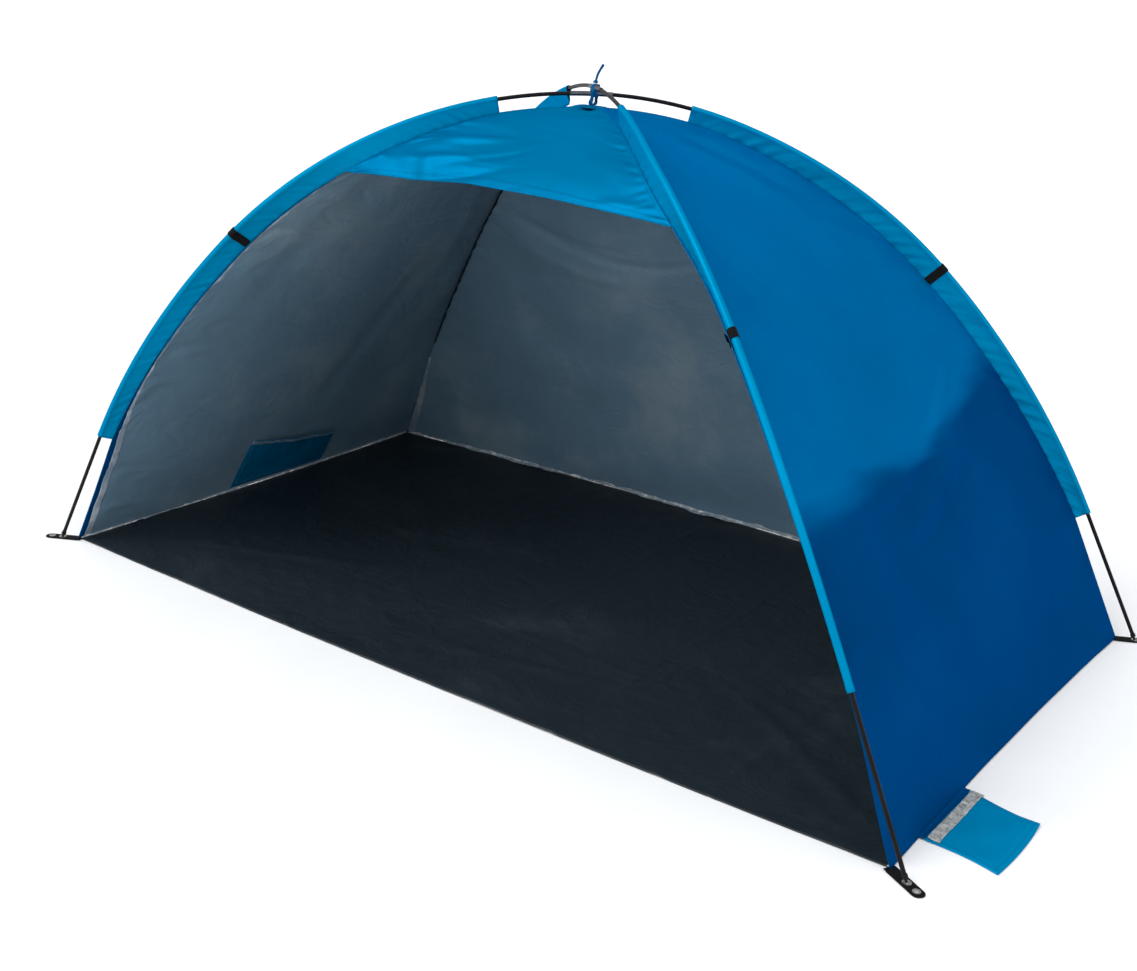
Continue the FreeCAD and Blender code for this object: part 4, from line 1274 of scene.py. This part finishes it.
def make_foot_seam(name, seed, width):
    """Crinkled strip of coated cloth where a wall is sewn to the floor."""
    panel = PANEL_GRIDS[name]
    foot = panel[-1, 2:-2]
    rise = unit(panel[-5, 2:-2] - panel[-1, 2:-2])
    inward = -out_of(name)
    run = path_lengths(foot)
    fine_run = np.arange(0.0, run[-1], FLOOR_SEAM_STEP)
    foot = read_off(fine_run, run, foot)
    rise = unit(read_off(fine_run, run, rise))
    slow, quick = waves(seed, 5, 0.08, 0.35), waves(seed + 1, 7, 0.012, 0.035)
    ragged = waves(seed + 2, 6, 0.02, 0.09)
    places = np.linspace(0, 1, 13)
    reach = width * (0.62 + 0.42 * slow(fine_run, 0.0) + 0.26 * ragged(fine_run, 2.0))
    reach = np.clip(reach, width * 0.18, width * 1.35)
    climb = width * 0.55 * (0.8 + 0.35 * ragged(fine_run, 5.0))
    grid = np.empty((len(fine_run), len(places), 3))
    for column, place in enumerate(places):
        floor_part = np.clip((FLOOR_SEAM_SPLIT - place) / FLOOR_SEAM_SPLIT, 0, 1)
        wall_part = np.clip((place + FLOOR_SEAM_SPLIT - 1) / FLOOR_SEAM_SPLIT, 0, 1)
        crinkle = 0.0011 * quick(fine_run, place * 0.05) + 0.0008 * ragged(fine_run, place * 0.08)
        crinkle = crinkle * (0.35 + 0.65 * abs(place - 0.5) * 2)
        point = foot + inward * (FLOOR_SEAM_STAND + reach * floor_part)[:, None]
        point = point + rise * (climb * wall_part)[:, None]
        height = FLOOR_SEAM_HEIGHT + 0.0016 * slow(fine_run, 9.0) * floor_part + crinkle
        point[:, 2] = np.maximum(point[:, 2] - foot[:, 2], 0.0) + np.maximum(height, FLOOR_SEAM_LOWEST)
        point = point + inward * (np.abs(crinkle) * wall_part)[:, None]
        grid[:, column] = point
    # The strip's coating carries painted white glints.
    piece = add_strip(f"floor_seam_{name}", grid, FLOOR_SEAM_THICKNESS, inward + UP, COATING_WITH_PAINTED_GLINTS)
    declare_sheet(grid)


def seam_flange(name, corner, end, seed, between):
    """Narrow seam allowance that stands inward along a seam and leans to and fro."""
    slow, quick = waves(seed, 5, 0.12, 0.4), waves(seed + 1, 7, 0.014, 0.05)
    distances = np.arange(FLANGE_TOP, end, 0.0045)
    places = np.linspace(0, 1, STRIP_COLUMNS)
    grid = np.empty((len(distances), STRIP_COLUMNS, 3))
    first, second = [out_of(panel) for panel in between]
    for row, distance in enumerate(distances):
        base = seam_point(corner, distance)
        _, across, _ = fin_frame(corner, distance)
        lean = unit(first - second) * (0.15 * slow(distance, 0.0))
        direction = unit(across + lean)
        depth = FLANGE_WIDTH * (0.85 + 0.15 * quick(distance, 3.0))
        for column, place in enumerate(places):
            wave = unit(first - second) * (0.0010 * place * quick(distance, place * 0.01))
            grid[row, column] = base + direction * (FLANGE_ROOT + depth * place) + wave
    # The near-black strip is painted shade along the seam.
    piece = add_strip(name, grid, STRIP_THICKNESS, first - second, SEAM_STRIP_PAINTED_SHADE)
    declare_sheet(grid)


def edge_strip(piece_name, name, edge, reach, top, wide, seed, material):
    """Strip on the inside of a panel beside an edge, from one distance off it to another.
    It starts at top, a distance down the edge, and has its full width from wide on."""
    panel = PANEL_GRIDS[name]
    normal, _ = grid_normals(panel, out_of(name))
    if edge == "second":
        panel, normal = panel[:, ::-1], normal[:, ::-1]
    quick = waves(seed, 7, 0.02, 0.07)
    across, lengths = grid_lengths(panel)[..., 0], grid_lengths(panel)[:, 0, 1]
    rows = np.nonzero(lengths > top)[0]
    grid = np.empty((len(rows), STRIP_COLUMNS, 3))
    for number, row in enumerate(rows):
        off_edge = across[row] - across[row, 0]
        share = STRIP_NARROW + (1 - STRIP_NARROW) * smooth(*wide, lengths[row])
        for column, place in enumerate(np.linspace(0, 1, STRIP_COLUMNS)):
            crinkle = 0.0006 * place * quick(lengths[row], place * 0.02)
            reached = share * (reach[0] + (reach[1] - reach[0]) * place) + 0.0002
            under = read_off(reached, off_edge, panel[row])
            grid[number, column] = under - normal[row, 2] * (0.0010 + abs(crinkle))
    piece = add_strip(piece_name, grid, STRIP_THICKNESS, -out_of(name), material)
    declare_sheet(grid)


for name, seed, width in (("left_end_wall", 400, 0.0045), ("rear_wall", 410, 0.015),
                          ("right_end_wall", 420, 0.006)):
    make_foot_seam(name, seed, width)
# Rear corner seams: near-black above as painted shade; below, the pale hem coating, lighter there as painted
# light.
for corner, side_wall, edge, seed in (("rear_left", "left_end_wall", "first", 430),
                                      ("rear_right", "right_end_wall", "second", 440)):
    lower = FOOT[corner] - LOWER_FLANGE
    seam_flange(f"seam_allowance_upper_{corner}", corner, lower, seed, (side_wall, "rear_wall"))
    edge_strip(f"seam_allowance_lower_{corner}", "rear_wall", edge, (0.001, 0.026), lower,
               (lower, lower + HEM_TAPER), seed, HEM_COATING)
for piece_name, corner, reach, seed, material, slot in (
        ("front_facing_front_left", "front_left", (0.0, 0.015), 455, ROYAL_BLUE, "royal_blue_cloth"),
        ("front_hem_front_left", "front_left", (0.0155, 0.036), 450, HEM_COATING, "silver_hem"),
        ("front_hem_front_right", "front_right", (0.0, 0.012), 460, ROYAL_BLUE, "royal_blue_cloth")):
    edge_strip(piece_name, "left_end_wall" if corner == "front_left" else "right_end_wall", "first", reach,
               AWNING_DROP, (leg_top(corner) - HEM_TAPER, leg_top(corner)), seed, material)


# ---------------------------------------------------------------- peak patch and ribbon

def make_peak_patch():
    """Small round reinforcement sewn over the point where the panels meet."""
    centre = (PATCH_LOW + PATCH_HIGH) / 2
    radius = (PATCH_HIGH[0] - PATCH_LOW[0]) / 2 - 0.001
    even = np.linspace(-1, 1, 33)
    u, v = np.meshgrid(even, even)
    x, y = u * np.sqrt(1 - v ** 2 / 2), v * np.sqrt(1 - u ** 2 / 2)
    away = np.hypot(x, y)
    ripple = 0.0005 * waves(500, 5, 0.5, 1.2)(x, y) * away
    z = PATCH_HIGH[2] - PATCH_BELOW_TOP - PATCH_DOME * away ** 2 + ripple
    grid = np.stack([centre[0] + radius * x, centre[1] + radius * y, z], axis=2)
    piece = add_sheet("reinforcing_patch", grid, CLOTH, (0, 0, 1), [TURQUOISE, COATING], "shelter")
    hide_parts("peak_patch")
    declare_sheet(grid)
    turns = np.linspace(0, 2 * math.pi, 60)
    reach = PATCH_STITCH_SHARE * radius
    height = PATCH_HIGH[2] - PATCH_BELOW_TOP - PATCH_DOME * PATCH_STITCH_SHARE ** 2 + 0.0006
    ring = np.array([(centre[0] + reach * math.cos(turn), centre[1] + reach * math.sin(turn), height)
                     for turn in turns])
    add_stitches("stitches_patch", [(ring, np.tile(UP, (60, 1)))], BLUE_THREAD, "shelter",
                 PATCH_STITCH)


def closed_sweep(name, path, ups, width, thickness, body, material):
    """Ribbon along a closed path, with its ups standing out of it."""
    path, ups = np.asarray(path), np.asarray(ups)
    forward = unit(np.roll(path, -1, axis=0) - np.roll(path, 1, axis=0))
    sides = unit(np.cross(forward, ups))
    ups = unit(np.cross(sides, forward))
    widths = np.broadcast_to(np.asarray(width, dtype=float), len(path))
    radius = thickness / 2
    rings = np.empty((len(path), len(STRAP_TURNS), 3))
    for place, (turn, side_sign) in enumerate(zip(STRAP_TURNS, STRAP_SIDES)):
        across = side_sign * (widths / 2 - radius) + radius * math.cos(turn)
        rings[:, place] = path + sides * across[:, None] + ups * (radius * math.sin(turn))
    index = ring_index(len(path), len(STRAP_TURNS))
    index = np.vstack([index, index[:1]])
    lengths = np.empty((len(path), len(STRAP_TURNS), 2))
    lengths[..., 0] = np.linspace(-0.5, 0.5, len(STRAP_TURNS))[None, :] * widths[:, None]
    lengths[..., 1] = np.linalg.norm(np.roll(path, -1, axis=0) - path, axis=1).cumsum()[:, None]
    return tidy_normals(add_piece(name, rings, grid_faces(index).tolist(), [material], body, lengths))


def make_ribbon():
    """Ribbon from the patch round both poles, and a tight knot on top."""
    loop_low, loop_high = box_of("crossing_loop")
    middle = (loop_low + loop_high) / 2
    half_height = (loop_high[2] - loop_low[2]) / 2 - 0.001
    half_span = (loop_high[1] - loop_low[1]) / 2 - 0.002
    turns = full_turn(72)
    pinch = 1 - 0.42 * np.exp(-((np.sin(turns) + 0.35) / 0.35) ** 2)
    y = half_span * np.sign(np.cos(turns)) * np.abs(np.cos(turns)) ** 0.7 * pinch
    z = half_height * np.sign(np.sin(turns)) * np.abs(np.sin(turns)) ** 0.8
    x = 0.0016 * np.sin(turns * 2) - 0.004 * np.sin(turns)
    path = middle + np.stack([-x, y, z], axis=1)
    ups = unit(np.stack([0 * y, y, z * 0.5], axis=1))
    piece = closed_sweep("ribbon_loop", path, ups, LOOP_WIDTH - 0.002 * np.cos(turns * 2), 0.0011, "shelter",
                         RIBBON)
    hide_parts("crossing_loop")
    crossing = np.array([CROSSING_SHIFT, 0.0, CROSSING_HEIGHT + CROSSING_RISE / 2])
    for number, heading in enumerate((0.9, 2.3)):
        across = np.array([math.cos(heading), math.sin(heading), 0.0])
        span = WRAP_SPAN + 0.001 * number
        path = crossing + across * (span * np.cos(turns))[:, None]
        path += UP * (WRAP_HEIGHT * np.sin(turns))[:, None]
        ups = across * np.cos(turns)[:, None] + UP * np.sin(turns)[:, None]
        closed_sweep(f"ribbon_wrap_{number + 1}", path, ups, WRAP_WIDTH, 0.0010, "shelter",
                     RIBBON)
    knot_turns = full_turn(110)
    size = (KNOT_HIGH[0] - KNOT_LOW[0]) / 2
    knot = np.stack([np.sin(knot_turns) + 2 * np.sin(2 * knot_turns),
                     np.cos(knot_turns) - 2 * np.cos(2 * knot_turns),
                     -1.5 * np.sin(3 * knot_turns)], axis=1) / 3
    knot = CROSSING + knot * np.array([size * 0.66, size * 0.66, size * 0.36])
    ups = unit(knot - CROSSING + UP * 0.002)
    piece = closed_sweep("ribbon_knot", knot, ups, KNOT_WIDTH, 0.0015, "shelter", RIBBON)
    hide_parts("crossing_knot")


def make_ribbon_tail():
    """Doubled end of the ribbon, twisted a little, with a small eye at its tip."""
    points = mesh_points(frame["nodes"]["ribbon_tail"].data)
    direction = unit(points.mean(axis=0) - CROSSING)
    direction = unit(direction * np.array([1.0, 0.0, 1.0]))
    reach = float(((points - CROSSING) @ direction).max())
    turns = full_turn(90)
    along = (1 - np.cos(turns)) / 2
    run = TAIL_ROOT + (reach - TAIL_ROOT - 0.001) * along
    half_gap = 0.0007 + 0.0016 * smooth(0.72, 0.95, along)
    base_side = np.cross(direction, np.array([0.0, 1.0, 0.0]))
    twist = 0.9 * along
    gap_side = base_side * np.cos(twist)[:, None] + np.array([0.0, 1.0, 0.0]) * np.sin(twist)[:, None]
    sway = base_side * (0.0016 * np.sin(along * math.pi * 1.3))[:, None]
    strand = np.sign(np.sin(turns + 1e-6))
    path = CROSSING + direction * run[:, None] + gap_side * (half_gap * strand)[:, None] + sway
    ups = gap_side * strand[:, None] + direction * 0.3 * -np.cos(turns)[:, None]
    piece = closed_sweep("ribbon_end", path, ups, TAIL_WIDTH - 0.0012 * along, 0.0009, "crossing_tail",
                         RIBBON)
    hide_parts("ribbon_tail")
    release(piece)
    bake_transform(piece)


make_peak_patch()
make_ribbon()
make_ribbon_tail()


# ---------------------------------------------------------------- sand pockets

def pocket_grid(node, side):
    """Middle surface of a sand pocket that lies flat: rows run along its root, columns away from it."""
    points = mesh_points(frame["nodes"][node].data)
    root_x = side * np.abs(points[:, 0]).min()
    far_x = side * np.abs(points[:, 0]).max()
    root = points[np.abs(points[:, 0] - root_x) < 0.001][:, 1]
    far = points[np.abs(points[:, 0] - far_x) < 0.001][:, 1]
    u = np.linspace(0, 1, SAND_COLUMNS)[None, :]
    v = np.linspace(0, 1, SAND_ROWS)[:, None]
    near_y = root.min() + (root.max() - root.min()) * v
    far_y = far.min() + (far.max() - far.min()) * v
    waist = 0.006 * np.sin(math.pi * u) * (1 - 2 * v)
    y = near_y + (far_y - near_y) * u + waist
    x = root_x + (far_x - root_x) * (u - 0.035 * u ** 3 * (2 * v - 1) ** 2)
    return np.broadcast_arrays(x, y, u, v)


def make_sand_pocket(name, side, seed):
    """Empty sand pocket, flat on the ground: hemmed cloth, with a loop-pile strip at its mouth."""
    body = f"flap_{name}"
    x, y, u, v = pocket_grid(f"sand_pocket_{name}", side)
    swell = waves(seed, 6, 0.06, 0.18)(x, y)
    edge = np.minimum(np.minimum(v, 1 - v) * 0.21, (1 - u) * 0.14)
    inside = smooth(0.0, 0.02, edge)
    mouth = np.exp(-(u / 0.16) ** 2)
    lift = 0.0014 + inside * (0.0009 + 0.0008 * swell) + 0.0008 * mouth
    corner_lift = 0.003 * np.clip(v - 0.8, 0, None) * 5 * np.clip(u - 0.7, 0, None) * 3
    grid = np.stack([x, y, lift + corner_lift], axis=2)
    thickness = 0.0014 + 0.0008 * inside + 0.0004 * (1 - smooth(0.007, 0.008, edge))
    piece = add_sheet(f"pocket_cloth_{name}", grid, thickness, (0, 0, 1), [LIT_TURQUOISE], body)
    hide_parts(f"sand_pocket_{name}")
    declare_sheet(grid)
    top = grid + UP * (thickness / 2 + 0.0002)[..., None]
    ups = np.tile(UP, (len(top), 1))
    sides = [(top[3, 2:], ups[:top.shape[1] - 2]), (top[-4, 2:], ups[:top.shape[1] - 2]),
             (top[2:-2, -4], ups[:-4])]
    add_stitches(f"stitches_pocket_{name}", sides, BLUE_THREAD, body)
    make_pile_strip(name, side, top, body, seed)


def sample_grid(grid, down, over):
    """Points of a grid at fractions of the way down its rows and over its columns."""
    row = np.clip(down, 0, 1) * (grid.shape[0] - 1)
    column = np.clip(over, 0, 1) * (grid.shape[1] - 1)
    low_row = np.minimum(row.astype(int), grid.shape[0] - 2)
    low_column = np.minimum(column.astype(int), grid.shape[1] - 2)
    part_row, part_column = (row - low_row)[..., None], (column - low_column)[..., None]
    first, second = [grid[line, low_column] * (1 - part_column) + grid[line, low_column + 1] * part_column
                     for line in (low_row, low_row + 1)]
    return first * (1 - part_row) + second * part_row


def pile_loops(grid, seed):
    """Small half rings of thread that stand on a grid of points, each in a direction of its own."""
    chance = np.random.default_rng(seed)
    points, faces = [], []
    for _ in range(PILE_LOOPS):
        row, column = chance.integers(1, grid.shape[0] - 1), chance.integers(1, grid.shape[1] - 1)
        foot = grid[row, column] + UP * 0.0005 + chance.uniform(-0.0009, 0.0009, 3) * (1, 1, 0)
        heading = chance.uniform(0, 2 * math.pi)
        flat = np.array([math.cos(heading), math.sin(heading), 0.0])
        lean = unit(UP + chance.uniform(-0.6, 0.6, 3) * (1, 1, 0))
        radius = chance.uniform(0.0005, 0.0009)
        square = np.cross(flat, lean)
        base = len(points)
        for step in range(6):
            angle = math.pi * step / 5
            centre = foot + flat * (radius * math.cos(angle)) + lean * (radius * math.sin(angle) * 1.3)
            out = unit(flat * math.cos(angle) + lean * math.sin(angle))
            for turn in range(3):
                around = 2 * math.pi * turn / 3
                points.append(centre + (out * math.cos(around) + square * math.sin(around)) * 0.00013)
        for step in range(5):
            for turn in range(3):
                here, there = base + step * 3 + turn, base + step * 3 + (turn + 1) % 3
                faces.append((here, there, there + 3, here + 3))
        faces.append((base + 2, base + 1, base))
        faces.append((base + 15, base + 16, base + 17))
    return points, faces


def make_pile_strip(name, side, top, body, seed):
    """Strip of hook-and-loop tape across the pocket's mouth, with its pile modelled as small loops."""
    low, high = box_of(f"sand_pocket_strip_{name}")
    ragged = waves(seed + 5, 6, 0.01, 0.06)
    v = np.linspace(0, 1, PILE_ROWS)[:, None]
    u = np.linspace(0, 1, PILE_COLUMNS)[None, :]
    y = low[1] + (high[1] - low[1]) * v
    near, far = (low[0], high[0]) if side > 0 else (high[0], low[0])
    x = near + (far - near) * u + 0.0004 * ragged(y, 0.0)
    below = sample_grid(top, (y - top[:, 0, 1].min()) / np.ptp(top[:, 0, 1]) + 0 * x,
                        (np.abs(x) - np.abs(top[0, 0, 0])) / np.ptp(top[0, :, 0]) + 0 * y)[..., 2]
    rise = below + 0.0009 + 0.0005 * np.abs(ragged(y * 0.6, u * 0.01)) + 0.0016 * (1 - u) ** 2
    grid = np.stack(np.broadcast_arrays(x, y, rise), axis=2)
    piece = add_sheet(f"pile_tape_{name}", grid, PILE_THICKNESS, (0, 0, 1), [PILE], body)
    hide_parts(f"sand_pocket_strip_{name}")
    declare_sheet(grid)
    points, faces = pile_loops(grid, seed + 9)
    add_piece(f"pile_loops_{name}", points, faces, [PILE], body)


def make_pocket_root(name, side, wall):
    """Cloth that joins the sand pocket's root to the foot of the wall."""
    x, y, _, _ = pocket_grid(f"sand_pocket_{name}", side)
    panel = PANEL_GRIDS[wall]
    foot_x = np.interp(y[:, 0], panel[-1, :, 1], np.abs(panel[-1, :, 0]))
    rise_z = np.interp(y[:, 0], panel[-4, :, 1], panel[-4, :, 2])
    low = ROOT_HEIGHT / rise_z
    rise_x = foot_x + (np.interp(y[:, 0], panel[-4, :, 1], np.abs(panel[-4, :, 0])) - foot_x) * low
    rise_z = rise_z * low
    root = np.abs(x[:, 0]) - ROOT_CLEARANCE
    grid = np.empty((len(root), ROOT_COLUMNS, 3))
    for column, place in enumerate(np.linspace(0, 1, ROOT_COLUMNS)):
        if place < 0.5:
            share = place / 0.5
            grid[:, column, 0] = side * (rise_x + (foot_x - rise_x) * share + ROOT_CLEARANCE)
            grid[:, column, 2] = rise_z + (ROOT_FOOT_HEIGHT - rise_z) * share
        else:
            share = (place - 0.5) / 0.5
            grid[:, column, 0] = side * (foot_x + ROOT_CLEARANCE + (root - foot_x - ROOT_CLEARANCE) * share)
            grid[:, column, 2] = ROOT_FOOT_HEIGHT - 0.0008 * math.sin(math.pi * share)
        grid[:, column, 1] = y[:, 0]
    piece = add_sheet(f"pocket_root_{name}", grid, 0.0008, (side, 0, 1), [ROYAL_BLUE], "shelter")
    declare_sheet(grid)
    release(piece)
    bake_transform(piece)


for name, side, seed, wall in (("right", 1, 600, "right_end_wall"), ("left", -1, 620, "left_end_wall")):
    make_sand_pocket(name, side, seed)
    make_pocket_root(name, side, wall)


# ---------------------------------------------------------------- storage pocket

def make_inner_pocket():
    """Slanting cloth pocket on the inside of the left end wall, slack at its creased top hem."""
    panel = PANEL_GRIDS["left_end_wall"]
    normal, _ = grid_normals(panel, PANELS["left_end_wall"][4])
    middle = panel.shape[1] // 2
    heights = panel[:, middle, 2]
    slow, quick = waves(700, 5, 0.08, 0.25), waves(701, 7, 0.012, 0.04)
    levels = np.linspace(POCKET_LOW, POCKET_HIGH, 44)
    grid = np.empty((len(levels), POCKET_COLUMNS, 3))
    for number, level in enumerate(levels):
        up = (level - POCKET_LOW) / (POCKET_HIGH - POCKET_LOW)
        spot = np.interp(level, heights[::-1], np.arange(len(heights))[::-1])
        row, part = int(spot), spot - int(spot)
        line = panel[row] * (1 - part) + panel[min(row + 1, len(panel) - 1)] * part
        facing = normal[row]
        front = POCKET_FRONT + POCKET_TAPER * up
        places = np.linspace(front, POCKET_REAR, POCKET_COLUMNS)
        wall, square = read_off(places, line[:, 1], line), read_off(places, line[:, 1], facing)
        across = (places - front) / (POCKET_REAR - front)
        slack = np.sin(math.pi * np.clip(across, 0, 1)) ** 0.6
        stand = POCKET_SIDE + (POCKET_MOUTH - POCKET_SIDE) * up ** 1.3 * slack
        stand = stand + 0.0016 * slack * slow(places, level)
        stand = stand + 0.0009 * slack * up * quick(places, level * 0.3)
        grid[number] = wall - square * np.maximum(stand, 0.0012)[:, None]
        sag = 0.006 * up ** 2 * slack * (0.6 + 0.4 * slow(places, 3.0)) + 0.040 * up * across ** 1.5
        grid[number, :, 2] -= sag
    piece = add_sheet("storage_pocket", grid, CLOTH, (1, 0, 0), [TURQUOISE, COATING], "shelter")
    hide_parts("inner_pocket")
    declare_sheet(grid)
    inward, _ = grid_normals(grid, (1, 0, 0))
    rows = np.linspace(len(levels) - 4, len(levels) - 1, 7)
    hem = np.empty((len(rows), POCKET_COLUMNS, 3))
    for number, row in enumerate(rows):
        low = int(min(row, len(levels) - 2))
        part = row - low
        crinkle = 0.0010 * quick(np.arange(POCKET_COLUMNS) * 0.0033, number * 0.004) * (0.4 + number / 8)
        hem[number] = grid[low] * (1 - part) + grid[low + 1] * part
        hem[number] += inward[low] * (0.0016 + np.abs(crinkle))[:, None]
        hem[number, :, 2] += crinkle
    hem_piece = add_sheet("storage_pocket_hem", hem, 0.0008, (1, 0, 0), [COATING], "shelter")
    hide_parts("inner_pocket_hem")
    declare_sheet(hem)
    raised = grid + inward * 0.0006
    sides = [(raised[2:-4, 3], inward[2:-4, 3]), (raised[2:-4, -4], inward[2:-4, -4]),
             (raised[3, 3:-3], inward[3, 3:-3])]
    add_stitches("stitches_storage_pocket", sides, GREY_THREAD, "shelter")


make_inner_pocket()


# ---------------------------------------------------------------- seam stitching

def make_awning_stitches():
    """Two rows of stitches along the awning's turned hem."""
    grid = PANEL_GRIDS["front_awning"]
    normal, _ = grid_normals(grid, (0, -1, 1))
    lengths = grid_lengths(grid)[..., 1]
    rows = []
    for above in AWNING_STITCHES:
        path, ups = [], []
        for column in range(2, grid.shape[1] - 2):
            spot = np.interp(lengths[-1, column] - above, lengths[:, column], np.arange(len(lengths)))
            low = int(spot)
            path.append(grid[low, column] + (grid[low + 1, column] - grid[low, column]) * (spot - low)
                        + normal[low, column] * 0.0010)
            ups.append(normal[low, column])
        rows.append((path, ups))
    add_stitches("stitches_awning_hem", rows, BLUE_THREAD, "shelter")


def make_sleeve_stitches(corner):
    """Row of stitches beside the seam on both faces of a sleeve, and round its two hems."""
    rows = []
    for sign in (-1, 1):
        path, ups = [], []
        for distance in np.arange(SLEEVE_TOP + 0.004, leg_top(corner) - 0.004, 0.012):
            point, across, face = fin_frame(corner, distance)
            path.append(point + across * (sleeve_width(corner, distance) - 0.0035) + face * (sign * 0.0019))
            ups.append(face * sign)
        rows.append((path, ups))
    add_stitches(f"stitches_sleeve_{corner}", rows, BLUE_THREAD, "shelter")


make_awning_stitches()
for corner in CORNERS:
    make_sleeve_stitches(corner)


# ---------------------------------------------------------------- camera, light and floor

def look_at(position, target, roll_degrees):
    """Rotation matrix of a camera that looks from a position to a target."""
    back = unit(np.array(position) - np.array(target))
    right = unit(np.cross(UP, back))
    over = np.cross(back, right)
    roll = math.radians(roll_degrees)
    turned = right * math.cos(roll) + over * math.sin(roll)
    upright = over * math.cos(roll) - right * math.sin(roll)
    matrix = Matrix.Identity(4)
    for row in range(3):
        matrix[row][0], matrix[row][1], matrix[row][2] = turned[row], upright[row], back[row]
        matrix[row][3] = position[row]
    return matrix


def make_camera():
    camera = bpy.data.objects.new("camera", bpy.data.cameras.new("camera"))
    camera.data.sensor_width = 36.0
    camera.data.lens = CAMERA_LENS
    camera.data.clip_end = 1000.0
    camera.matrix_world = look_at(CAMERA_PLACE, CAMERA_AIM, CAMERA_ROLL)
    bpy.context.scene.collection.objects.link(camera)
    bpy.context.scene.camera = camera


def make_sun(name, place, spread_degrees, strength):
    """Very soft distant light that shines from a place towards the shelter."""
    light = bpy.data.objects.new(name, bpy.data.lights.new(name, "SUN"))
    light.data.angle = math.radians(spread_degrees)
    light.data.energy = strength
    light.matrix_world = look_at(place, (0.0, 0.0, 0.0), 0.0)
    bpy.context.scene.collection.objects.link(light)


def make_studio():
    """Round pale floor and soft light from all round, strongest from above and in front."""
    turns = full_turn(STUDIO_SIDES)
    rings = [[(radius * math.cos(turn), radius * math.sin(turn), STUDIO_FLOOR_HEIGHT) for turn in turns]
             for radius in STUDIO_RADII]
    index = ring_index(len(rings), len(turns))
    mesh = bpy.data.meshes.new("studio_floor")
    mesh.from_pydata(np.array(rings).reshape(-1, 3).tolist(), [], grid_faces(index)[:, ::-1].tolist())
    mesh.materials.append(floor_material())
    floor = bpy.data.objects.new("studio_floor", mesh)
    bpy.context.scene.collection.objects.link(floor)
    world = bpy.data.worlds.new("soft_light")
    world.use_nodes = True
    background = world.node_tree.nodes["Background"]
    background.inputs["Color"].default_value = (0.99, 0.995, 1.0, 1.0)
    seen = world.node_tree.nodes.new("ShaderNodeLightPath").outputs["Is Camera Ray"]
    strength = world.node_tree.nodes.new("ShaderNodeMapRange")
    strength.inputs["To Min"].default_value = LIGHT_ALL_ROUND
    strength.inputs["To Max"].default_value = SEEN_BACKGROUND
    world.node_tree.links.new(seen, strength.inputs["Value"])
    world.node_tree.links.new(strength.outputs[0], background.inputs["Strength"])
    bpy.context.scene.world = world
    bpy.context.scene.view_settings.view_transform = "Standard"
    for name, place, spread_degrees, strength in SUNS:
        make_sun(name, place, spread_degrees, strength)


make_camera()
make_studio()


# ---------------------------------------------------------------- finishes of the carried-over parts

def finish_frame_nodes():
    """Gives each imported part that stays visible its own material."""
    finishes = {
        "fibreglass": FIBREGLASS, "steel_ferrule": STEEL, "elastic_cord": CORD, "black_plastic": PLASTIC,
        "turquoise_cloth": TURQUOISE, "royal_blue_cloth": ROYAL_BLUE, "black_webbing": WEBBING,
        "eyelet_metal": EYELET, "groundsheet_pe": GROUNDSHEET, "ribbon": RIBBON, "hook_and_loop": PILE,
        # The carried-over silver hems take the coating with painted glints.
        "silver_hem": COATING_WITH_PAINTED_GLINTS,
    }
    slots = {part["node"]: part["material_slot"] for part in frame["record"]["subparts"]}
    for node, shown in frame["nodes"].items():
        shown.data.materials.clear()
        shown.data.materials.append(finishes[slots[node]])


finish_frame_nodes()
